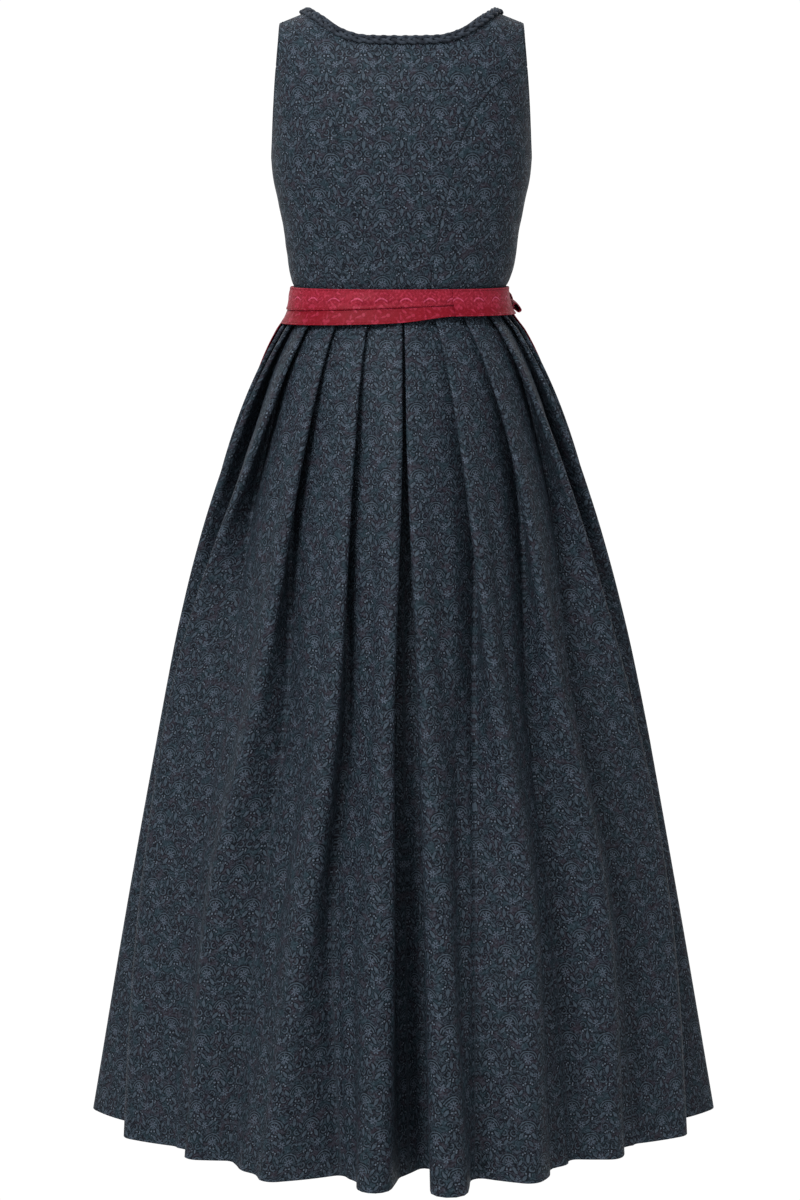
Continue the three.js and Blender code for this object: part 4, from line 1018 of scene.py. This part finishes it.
def skirt_stations():
    """The cloth's middle line at every level, in its order round the garment from centre front."""
    ovals = [values_at(skirt_sizes, level) for level in levels]
    turns = np.linspace(0, math.pi, 1441)
    rulers = []
    for size in ovals:
        steps = np.linalg.norm(np.diff(oval(size, turns), axis=0), axis=1)
        rulers.append(np.concatenate([[0], np.cumsum(steps)]))
    halfway = np.array([ruler[-1] for ruler in rulers])
    pegs = half_pegs(-1, right_crests, right_valleys)[::-1] + half_pegs(1, left_crests, left_valleys)
    for peg in pegs:
        turn = peg["turn"]
        far = [np.interp(abs(turn[i]), turns, ruler) for i, ruler in enumerate(rulers)]
        reach = peg["radius"] + PLEAT_CLOTH / 2
        peg["at"] = np.stack([np.sign(turn) * far, peg["out"] + peg["sense"] * reach])
    legs = []
    for i, a in enumerate(pegs):
        b = pegs[(i + 1) % len(pegs)]
        shift = 2 * halfway if i == len(pegs) - 1 else 0 * halfway
        between = b["at"] - a["at"] + np.stack([shift, 0 * shift])
        cross = (a["sense"] * a["radius"] - b["sense"] * b["radius"]) / np.hypot(*between)
        same = "underlay" if a["kind"] == "valley" else "front"
        other = "back" if a["fold"] == b["fold"] else "face"
        kind = same if a["kind"] == b["kind"] else other
        heading = np.arctan2(between[1], between[0]) + np.arcsin(np.clip(cross, -0.99, 0.99))
        legs.append(dict(kind=kind, heading=heading, shift=shift))

    def touch(peg, heading, shift=0):
        reach = peg["sense"] * peg["radius"]
        return np.stack([
            peg["at"][0] + shift + reach * np.sin(heading), peg["at"][1] - reach * np.cos(heading), heading
        ])

    stations, relief, seams, crests, valleys = [], [], [], [], []
    for i, a in enumerate(pegs):
        before, leg = legs[i - 1]["heading"], legs[i]
        for k in range(ARC_STEPS + 1):
            if k == ARC_STEPS // 2:
                (crests if a["kind"] == "crest" else valleys).append(len(stations))
            stations.append(touch(a, before + (leg["heading"] - before) * k / ARC_STEPS))
            relief.append(np.zeros(len(levels)))
        b = pegs[(i + 1) % len(pegs)]
        start, end = touch(a, leg["heading"]), touch(b, leg["heading"], leg["shift"])
        steps = LEG_STEPS[leg["kind"]]
        share = np.arange(1, steps) / steps
        from_crest = share if a["kind"] == "crest" else 1 - share
        face = a if a["kind"] == "crest" else b
        bumps = np.zeros((len(share), len(levels)))
        if leg["kind"] == "face":
            bumps = face_relief(face["side"], face["fold"], from_crest, np.hypot(*(end - start)[:2]))
        for k, part in enumerate(share):
            cut_back = leg["kind"] == "back" and a["fold"] == SIDE_FOLD
            if part == 0.5 and (leg["kind"] in ("underlay", "front") or cut_back):
                seams.append(len(stations))
            stations.append(start + (end - start) * part)
            relief.append(bumps[k])
    stations, relief = np.array(stations), np.array(relief)
    middle = seams[-1]
    wrapped = stations[middle:].copy()
    wrapped[:, 0] -= 2 * halfway
    order = np.concatenate([np.arange(middle, len(stations)), np.arange(middle + 1)])
    stations = np.concatenate([wrapped, stations[:middle + 1]])
    cuts = sorted((seam - middle) % (len(order) - 1) for seam in seams) + [len(order) - 1]
    edges, bottoms = (sorted((k - middle) % (len(order) - 1) for k in ks) for ks in (crests, valleys))
    # One valley bottom parts each two fold edges. At centre back the seam does it, in place of two valleys.
    centre = cuts[2]
    around = sorted(bottoms, key=lambda k: abs(k - centre))[:2]
    bottoms = sorted([k for k in bottoms if k not in around] + [centre])
    return ovals, turns, rulers, halfway, stations, relief[order], cuts, edges, bottoms


def cloth_lengths(stations, edges, bottoms):
    """Lengths along the cloth at every level, equal at each fold edge: the valleys take up the rest."""
    run = lengths_along(np.moveaxis(stations[:, :2], 1, -1), 0)
    nearest = np.searchsorted(bottoms, np.arange(len(run)), side="left")
    anchors = np.array(edges)[np.clip(nearest, 0, len(edges) - 1)]
    return run - run[anchors] + run[anchors].mean(axis=1, keepdims=True)


ovals, turns, rulers, halfway, stations, relief, cuts, edges, bottoms = skirt_stations()
lengths_across = cloth_lengths(stations, edges, bottoms)
slant = np.hypot(np.diff(levels), np.diff(skirt_sizes["back"](levels)) * 0.9)
lengths_down = np.concatenate([[0], np.cumsum(slant)])
HEM_TURN, HEM_THICKER = 45, 0.9


def skirt_skin(off):
    """The skirt's points on one side of the cloth's middle line."""
    away = off + relief
    along = stations[:, 0] - away * np.sin(stations[:, 2])
    out = stations[:, 1] + away * np.cos(stations[:, 2])
    skin = []
    for i, level in enumerate(levels):
        past = np.where(np.abs(along[:, i]) > halfway[i], 2 * halfway[i], 0)
        wrapped = along[:, i] - np.sign(along[:, i]) * past
        turn = np.sign(wrapped) * np.interp(np.abs(wrapped), rulers[i], turns)
        skin.append(on_oval(ovals[i], turn, out[:, i], level))
    return np.array(skin)


skirt_outer = skirt_skin(PLEAT_CLOTH / 2)
skirt_inner = skirt_skin(-PLEAT_CLOTH / 2 - HEM_THICKER * (levels < HEM_TURN))
skirt_uv = np.stack([lengths_across.T, np.broadcast_to(-lengths_down[:, None], lengths_across.T.shape)], -1)
for k, name in enumerate(("front_right", "back_right", "back_left", "front_left")):
    part = slice(cuts[k], cuts[k + 1] + 1)
    outer, inner, uv = skirt_outer[:, part], skirt_inner[:, part], skirt_uv[:, part]
    sew(f"skirt_width_{name}", f"skirt_{name}", outer, inner, uv, dress_cloth)

# Apron band and ties. Strips of a red satin jacquard, folded and sewn, wound round the waist in two
# layers: the band and one tie beneath, and the long tie from the band's right end round to the bow.
LAYER = 1.6
TIE_TOP = 998
TIE_CLOTH = 1.2
waist_sizes = curves(table(
    "height half back front corner slant",
    (999, 125.9, 89.3, 89.1, 0.042, 1),
    (985, 127.6, 91.2, 90.2, 0.045, 1.02),
    (970, 132.2, 94.8, 93.3, 0.045, 1.1),
    (953, 142.2, 103.2, 101.2, 0.04, 1.18),
))
band_bottom = curve(
    (-108, -27, 0, 30, 60, 90, 120, 150, 252, 333),
    (966, 967, 960, 957, 955.5, 955.5, 962, 966, 966, 967),
)
over_tie_bottom = curve((-27, 0, 30, 60, 90, 180, 243), (980, 977.5, 974.5, 972.2, 971.5, 972, 974))


def waist_point(turn, height, out):
    size = values_at(waist_sizes, height)
    return on_oval(size, np.radians(turn), out * size["slant"], height)


# The red jacquard: a winding vine along the strip with a flower under each crest and a leaf over each trough,
# all tone on tone, repeated every 52 mm down the apron.
VINE_REPEAT, VINE_ROW = 28.0, 52.0


def red_jacquard(name, painted_low_shade):
    """The satin of the apron or, with the second argument over 0, of the strips, whose lower part is darkened
    to deep red as painted shade.
    """
    satin = Weave(name, 90.0, 0.0014)
    x, cut = satin.x, satin.cut
    down = (satin.y * -1) % VINE_ROW

    def cell(shift):
        left = ((x / VINE_REPEAT + shift) % 1.0 - 0.5) * VINE_REPEAT
        return satin.node("ShaderNodeCombineXYZ", {}, {0: left, 1: down})

    crest, trough = cell(0.5), cell(0.0)
    wave = (x * (2 * math.pi / VINE_REPEAT)).cos()
    crown = wave.rise(-0.7, 0.4)
    vine = (0.75 - abs(down - 14.0 + 3.6 * wave) * 0.85).least(crown * 2.4 - 1.6)
    second = 0.45 - abs(down - 46.0 - 2.4 * wave) * 0.85
    buds = most_of(*[radius - satin.apart(*place) for radius, *place in (
        (2.2, crest, 0, 19.6), (1.9, crest, -2.7, 21.6), (1.9, crest, 2.7, 21.6), (2.0, crest, 0, 29.5),
        (2.3, trough, 0, 38.5), (1.7, trough, -2.6, 36.6), (1.7, trough, 2.6, 36.6),
    )])
    leaves = most_of(*[satin.leaf(*values) for values in (
        (trough, 3.2, 11.2, 40, 3.6, 1.2), (trough, -4.0, 25.0, -35, 3.8, 1.3),
        (crest, 5.0, 31.5, 20, 3.8, 1.2), (crest, -5.2, 5.2, -28, 3.4, 1.1),
        (trough, 0, 31.8, 90, 3.4, 1.1),
    )])
    ink = most_of(vine, buds, leaves, second)
    figure = ink.rise(-0.8, 0.9)
    line = vine.rise(-0.4, 0.6)
    outline = ink.rise(-1.6, -0.7) * (1 - figure)
    cloud = satin.noise(cut, 40.0, 3.0)
    thread = satin.threads((4.0, 1.0, 1.0))
    colour = satin.blend(cloud.rise(0.3, 0.7), paint(112, 23, 37), paint(103, 20, 33))
    # Painted shade: the strips' lower part is darkened to deep red and its flecks are made fainter, standing
    # in for how the light falls on it.
    deep = down.rise(17.0, 24.0) * painted_low_shade
    colour = satin.blend(deep, colour, paint(91, 4, 16))
    colour = satin.blend(outline * 0.5, colour, paint(82, 7, 19))
    colour = satin.blend(figure * 0.6, colour, paint(130, 34, 54))
    colour = satin.blend(line * 0.6, colour, paint(160, 66, 94))
    fleck = satin.noise(cut, 320.0, 2.0)
    colour = satin.blend(fleck.rise(0.52, 0.66) * (0.4 - deep * 0.3), colour, paint(146, 49, 68))
    colour = satin.blend((1 - fleck.rise(0.36, 0.48)) * (0.4 - deep * 0.3), colour, paint(76, 5, 16))
    colour = satin.blend(thread.rise(0.45, 0.8) * 0.25, colour, paint(72, 6, 17))
    roughness = 0.46 - figure * 0.1 + thread * 0.1
    return satin.surface(colour, roughness, figure * 0.5 + thread * 0.5, 0.00018, **{
        "Specular IOR Level": 0.05,
    })


# The strips' satin has painted shade on its lower part; the apron's has none.
apron_cloth = red_jacquard("apron_satin", 0)
ribbon_cloth = red_jacquard("ribbon_satin", 0.8)

# Creases along the ties: turns of the ends, height over the lower edge, half height and how far the cloth
# above them stands out.
TIE_CREASES = [
    (-30, 26, 6.5, 2.2, 1.5), (10, 62, 9.5, 2.6, 1.0), (50, 118, 14, 3.2, 1.2), (-20, 14, 16, 2.4, 0.7),
    (150, 210, 12, 3.0, 1.2), (196, 243, 8, 2.6, 1.3), (100, 140, 7, 2.5, 0.9),
]
BAND_CREASES = [(95, 130, 8, 3.0, 0.4), (260, 330, 9, 3.0, 0.5)]
red_rows = []


def stitch_along(outer, inner, row):
    """Keeps a path just over a skin's row of points, for the row of stitches that is sewn there."""
    lift = outer - inner
    lift /= np.linalg.norm(lift, axis=-1, keepdims=True)
    red_rows.append(in_metres((outer + STITCH_LIFT * lift)[row]))


def strip(name, node, start, end, bottom, layer, creases, lift):
    """A folded strip round the waist between two turns, its edges rolled where they are sewn."""
    turn = np.linspace(start, end, max(int(abs(end - start) * 1.1), 30))[None]
    share = spaced(16, ends=(0.012, 0.028, 0.05))[:, None]
    low = bottom(turn)
    height = low + (TIE_TOP - low) * share
    over_low, under_top = height - low, TIE_TOP - height
    out = layer(turn) + 0 * height
    for first, last, level, half, stand in creases:
        ends = np.clip((turn - first) / 6, 0, 1) * np.clip((last - turn) / 6, 0, 1)
        wander = level + 1.6 * np.sin(turn * 0.11 + first)
        bulge = 1 / (1 + np.exp(-(over_low - wander) / (0.45 * half)))
        fade = np.exp(-np.clip(over_low - wander, 0, None) / (4.5 * half))
        out = out + stand * eased(ends) * bulge * fade
    out = out + 0.35 * (np.exp(-((over_low - 0.9) / 0.7) ** 2) + np.exp(-((under_top - 0.9) / 0.7) ** 2))
    out = out + 0.18 * np.sin(turn * 0.37 + 0.2 * over_low) * np.sin(turn * 0.13)
    if lift is not None:
        out = out + lift(turn)
    turns_all = np.broadcast_to(turn, height.shape)
    outer, inner = waist_point(turns_all, height, out + TIE_CLOTH), waist_point(turns_all, height, out)
    run = lengths_along(outer[len(outer) // 2], 0)
    uv = np.stack(np.broadcast_arrays(run[None], height - TIE_TOP), -1)
    sew(name, node, outer, inner, uv, ribbon_cloth)
    stitch_along(outer, inner, 4)
    stitch_along(outer, inner, -5)


BAND_START, BAND_END = 90, 333
UNDER_TIE_START = -108
OVER_TIE_START, OVER_TIE_END = -27, 243


def band_layer(turn):
    """The band lies beneath, and steps out past the end of the tie on top."""
    return LAYER * np.clip((turn - OVER_TIE_END) / 9, 0, 1)


def under_layer(turn):
    """The tie beneath lies on the bodice all the way."""
    return 0 * turn


def over_layer(turn):
    """The tie on top lies one layer out all the way."""
    return LAYER + 0 * turn


def band_end(turn):
    """The band's end lifts off under the bow."""
    return 1.5 * np.clip((turn - BAND_END + 9) / 9, 0, 1) ** 2


def over_tie_end(turn):
    """The seam at the start of the tie on top draws it in."""
    return -0.3 * np.exp(-((turn - OVER_TIE_START - 0.2) / 2.0) ** 2)


strip("waistband", "apron_band", BAND_START, BAND_END, band_bottom, band_layer, BAND_CREASES, band_end)
strip("tie_beneath", "apron_tie_under", UNDER_TIE_START, BAND_START, band_bottom, under_layer, [], None)
over_tie_run = (OVER_TIE_START, OVER_TIE_END)
strip("tie_on_top", "apron_tie_over", *over_tie_run, over_tie_bottom, over_layer, TIE_CREASES, over_tie_end)

# Apron panel. One width of the red jacquard, gathered on the band over the front of the skirt, in soft waves
# that widen and wander on the way down.
APRON_TOP, APRON_HEM = 966, 52
SEAM_GAP = 0.3
GATHER_DEPTH, GATHER_REACH = 0.7, 55
apron_sizes = curves(table(
    "height left right wave",
    (APRON_TOP, 90, 264, 2.0),
    (946, 93, 262, 2.4),
    (905, 101, 258, 3.2),
    (850, 106, 254, 4.2),
    (780, 109, 251, 5.2),
    (690, 111, 249, 6.2),
    (560, 113, 247, 7.2),
    (400, 115, 245, 8.2),
    (220, 117, 243, 9),
    (APRON_HEM, 119, 241, 9.6),
))
APRON_LEVELS = np.concatenate([
    np.linspace(APRON_TOP, 925, 12), np.linspace(915, 560, 30), np.linspace(545, APRON_HEM, 34),
])
APRON_COLUMNS = 241
APRON_WAVES = 10
APRON_CLEARANCE = 3.25
APRON_CLOTH = 1.0
WAVE_FADE = 0.09


def level_normal(along):
    """The level direction square to a way along the cloth."""
    flat = along * (1, 1, 0)
    flat /= np.linalg.norm(flat, axis=-1, keepdims=True)
    return np.stack([-flat[..., 1], flat[..., 0], 0 * flat[..., 0]], -1)


def apron_grid(off):
    """The apron's points on one side of its cloth's middle."""
    share = np.linspace(0, 1, APRON_COLUMNS)
    rows = []
    for level in APRON_LEVELS:
        left, right, wave = values_at(apron_sizes, level).values()
        height = np.full_like(share, level)
        if level == APRON_TOP:
            height = band_bottom(left + (right - left) * share) - SEAM_GAP
        size = values_at(skirt_sizes, height)
        down = (APRON_TOP - level) / (APRON_TOP - APRON_HEM)
        gathers = GATHER_DEPTH * np.exp(-(APRON_TOP - level) / GATHER_REACH)

        def middle(at):
            drift = 0.35 * np.sin(5 * at + 1) + 0.10 * down * np.sin(17 * at + 2.4 * down)
            lean = 1 - 0.22 * (1 + np.sin(9.3 * at + 3 * down)) / 2
            waves = wave * lean * (1 - np.cos(2 * math.pi * (APRON_WAVES * at + drift)))
            waves = waves + gathers * (1 - np.cos(2 * math.pi * 3 * APRON_WAVES * at + 2 * np.sin(13 * at)))
            out = APRON_CLEARANCE + waves * eased(np.minimum(at, 1 - at) / WAVE_FADE)
            return on_oval(size, np.radians(left + (right - left) * at), out, height)

        rows.append(middle(share) - level_normal(middle(share + 0.002) - middle(share - 0.002)) * off)
    return np.array(rows)


outer, inner = apron_grid(APRON_CLOTH / 2), apron_grid(-APRON_CLOTH / 2)
run = lengths_along(outer[-1], 0)
fall = lengths_along(outer[:, outer.shape[1] // 2], 0)
apron_uv = np.stack(np.broadcast_arrays(run[None], -fall[:, None]), -1)
sew("apron_cloth", "apron_panel", outer, inner, apron_uv, apron_cloth)
stitch_along(outer, inner, -2)
stitch_along(outer.swapaxes(0, 1), inner.swapaxes(0, 1), 3)
stitch_along(outer.swapaxes(0, 1), inner.swapaxes(0, 1), -4)
red_thread = plain_weave("red_thread", paint(98, 15, 28), paint(84, 10, 22), 0.5)
red_stitches = stitched("apron_stitches", red_rows, red_thread)
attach(red_stitches, "root")

# Bow, at the wearer's right side. The ties' ends are knotted into a small loop to the back, a large one
# to the front, a knot over both and two tails that hang over the apron.


def tube(name, node, rings):
    """A closed strip of cloth through rings, open at both ends. rings makes them, larger or smaller."""
    outer, inner = (np.concatenate([ring, ring[:, :1]], axis=1) for ring in (rings(0), rings(-TIE_CLOTH)))
    uv = np.stack([lengths_along(outer, 0), -lengths_along(outer, 1) - 6], -1)
    sew(name, node, outer, inner, uv, apron_cloth, crease=60, closed=True)


def through(rows, count):
    """More rows between those of a table, by their order."""
    order = np.arange(len(next(iter(rows.values()))))
    at = np.linspace(0, order[-1], count)
    return {name: curve(order, values)(at) for name, values in rows.items()}


KNOT_HEIGHT, KNOT_OUT = 981, 10.3
knot_rows = through(table(
    "turn tall thick",
    (-113.5, 9, 5.6),
    (-115.5, 12, 6.8),
    (-120, 12.5, 7),
    (-124.8, 12, 6.8),
    (-127, 9, 5.6),
), 29)


def knot_rings(grow):
    """The knot's rings, squarish with the folds of the tie that is wound over it."""
    angle = np.linspace(0, 2 * math.pi, 49)[None, :-1]
    round_off = lambda value: np.sign(value) * np.abs(value) ** 0.75
    turn, tall, thick = (knot_rows[key][:, None] for key in ("turn", "tall", "thick"))
    folds = 0.55 * np.cos(5 * (turn + 118) / 6.7 * math.pi / 2 + 0.7 * np.sin(angle))
    folds = folds + 0.3 * np.sin(3 * angle + 1)
    height = KNOT_HEIGHT + (tall + folds + grow) * round_off(np.sin(angle))
    out = KNOT_OUT + (thick + folds + grow) * round_off(np.cos(angle))
    return waist_point(turn + 0 * angle, height, out)


tube("bow_knot_cloth", "bow_knot", knot_rings)

back_loop_rows = through(table(
    "turn height out tall wide",
    (-94.5, 972.4, 7.6, 5.6, 4.2),
    (-99.5, 973.8, 7.8, 6.2, 4.3),
    (-105, 975.4, 8.2, 6.2, 4.5),
    (-113, 977, 8.6, 5.8, 4.6),
), 25)


def back_loop_rings(grow):
    """The small loop's rings, flattened round tubes that narrow towards the knot."""
    angle = np.linspace(0, 2 * math.pi, 41)[None, :-1]
    turn, height, out, tall, wide = (values[:, None] for values in back_loop_rows.values())
    ripple = 0.25 * np.sin(4 * angle + 0.5 * turn)
    level = height + (tall + grow + ripple) * np.sin(angle)
    away = out + (wide + grow + ripple) * np.cos(angle)
    return waist_point(turn + 0 * angle, level, away)


tube("bow_loop_small", "bow_loop_back", back_loop_rings)

front_loop_rows = through(table(
    "turn out tall height",
    (-125.3, 8.2, 7, 981),
    (-129, 6.6, 9.5, 982),
    (-136, 5.6, 12.5, 983),
    (-145, 5.4, 14.4, 984),
    (-154, 5.6, 15, 984.5),
    (-160, 6.6, 15, 984.5),
    (-163, 9.6, 15, 984.5),
    (-164, 13.6, 15, 984.5),
    (-162.6, 17.8, 15, 984.5),
    (-159, 20.4, 15, 984.5),
    (-153, 21.6, 15, 984.5),
    (-145, 20.8, 14.4, 984),
    (-136, 18, 12.5, 983),
    (-129, 14.6, 9.5, 982),
    (-125.3, 12.4, 7, 981),
), 113)


def front_loop():
    """The large loop: a strip that runs out from under the knot and back over itself, pinched there."""
    share = np.linspace(0, 1, 21)[:, None]
    turn, out, tall, height = (front_loop_rows[key][None] for key in ("turn", "out", "tall", "height"))
    pinch = np.exp(-((turn + 125) / 9) ** 2)
    ripple = 0.8 * pinch * np.sin(2 * math.pi * 2.5 * share + 0.6)
    middle = waist_point(turn + 0 * share, height + tall * (2 * share - 1), out + ripple)
    normal = level_normal(np.gradient(middle, axis=1))
    outer, inner = middle + normal * TIE_CLOTH / 2, middle - normal * TIE_CLOTH / 2
    run = lengths_along(middle[len(middle) // 2], 0)
    uv = np.stack(np.broadcast_arrays(run[None], 30 * (share - 1) - 5), -1)
    sew("bow_loop_large", "bow_loop_front", outer, inner, uv, apron_cloth)


front_loop()

TAIL_TOP, TAIL_SPREAD_TO = 968.6, 600
tail_sizes = curves(table(
    "height out wide",
    (TAIL_TOP, 11.6, 5.8),
    (946, 12, 8),
    (905, 13.5, 11.5),
    (850, 15.5, 15),
    (780, 17.5, 18),
    (690, 19.5, 20),
    (TAIL_SPREAD_TO, 21, 21),
))


def tail(name, node, turn_top, turn_end, length):
    """A tie's end that hangs over the apron and spreads on the way down."""
    share = np.linspace(0, 1, 33)[None]
    height = np.linspace(TAIL_TOP, TAIL_TOP - length, 90)[:, None]
    size = values_at(skirt_sizes, height + 0 * share)
    down = (TAIL_TOP - height) / (TAIL_TOP - TAIL_SPREAD_TO)
    turn = turn_top + (turn_end - turn_top) * (1 - (1 - down) ** 2)
    radius = 0.7 * size["half"] + 0.3 * size["front"]
    out, wide = values_at(tail_sizes, height).values()
    bend = 1.6 * np.minimum(down * 3, 1)

    def middle(at):
        fold = bend * np.sin(2 * math.pi * at + 0.6) + 0.4 * bend * np.sin(4 * math.pi * at + 6 * down)
        return on_oval(size, np.radians(turn) + wide * (2 * at - 1) / radius, out + fold, height + 0 * at)

    normal = level_normal(middle(share + 0.01) - middle(share - 0.01))
    outer, inner = middle(share) + normal * TIE_CLOTH / 2, middle(share) - normal * TIE_CLOTH / 2
    run = lengths_along(outer[-1], 0)
    uv = np.stack(np.broadcast_arrays(TAIL_TOP - height, -5 - run[None]), -1)
    sew(name, node, outer, inner, uv, apron_cloth)


tail("bow_tail_first", "bow_tail_long", -115, -123, 370)
tail("bow_tail_second", "bow_tail_short", -121.8, -138, 310)
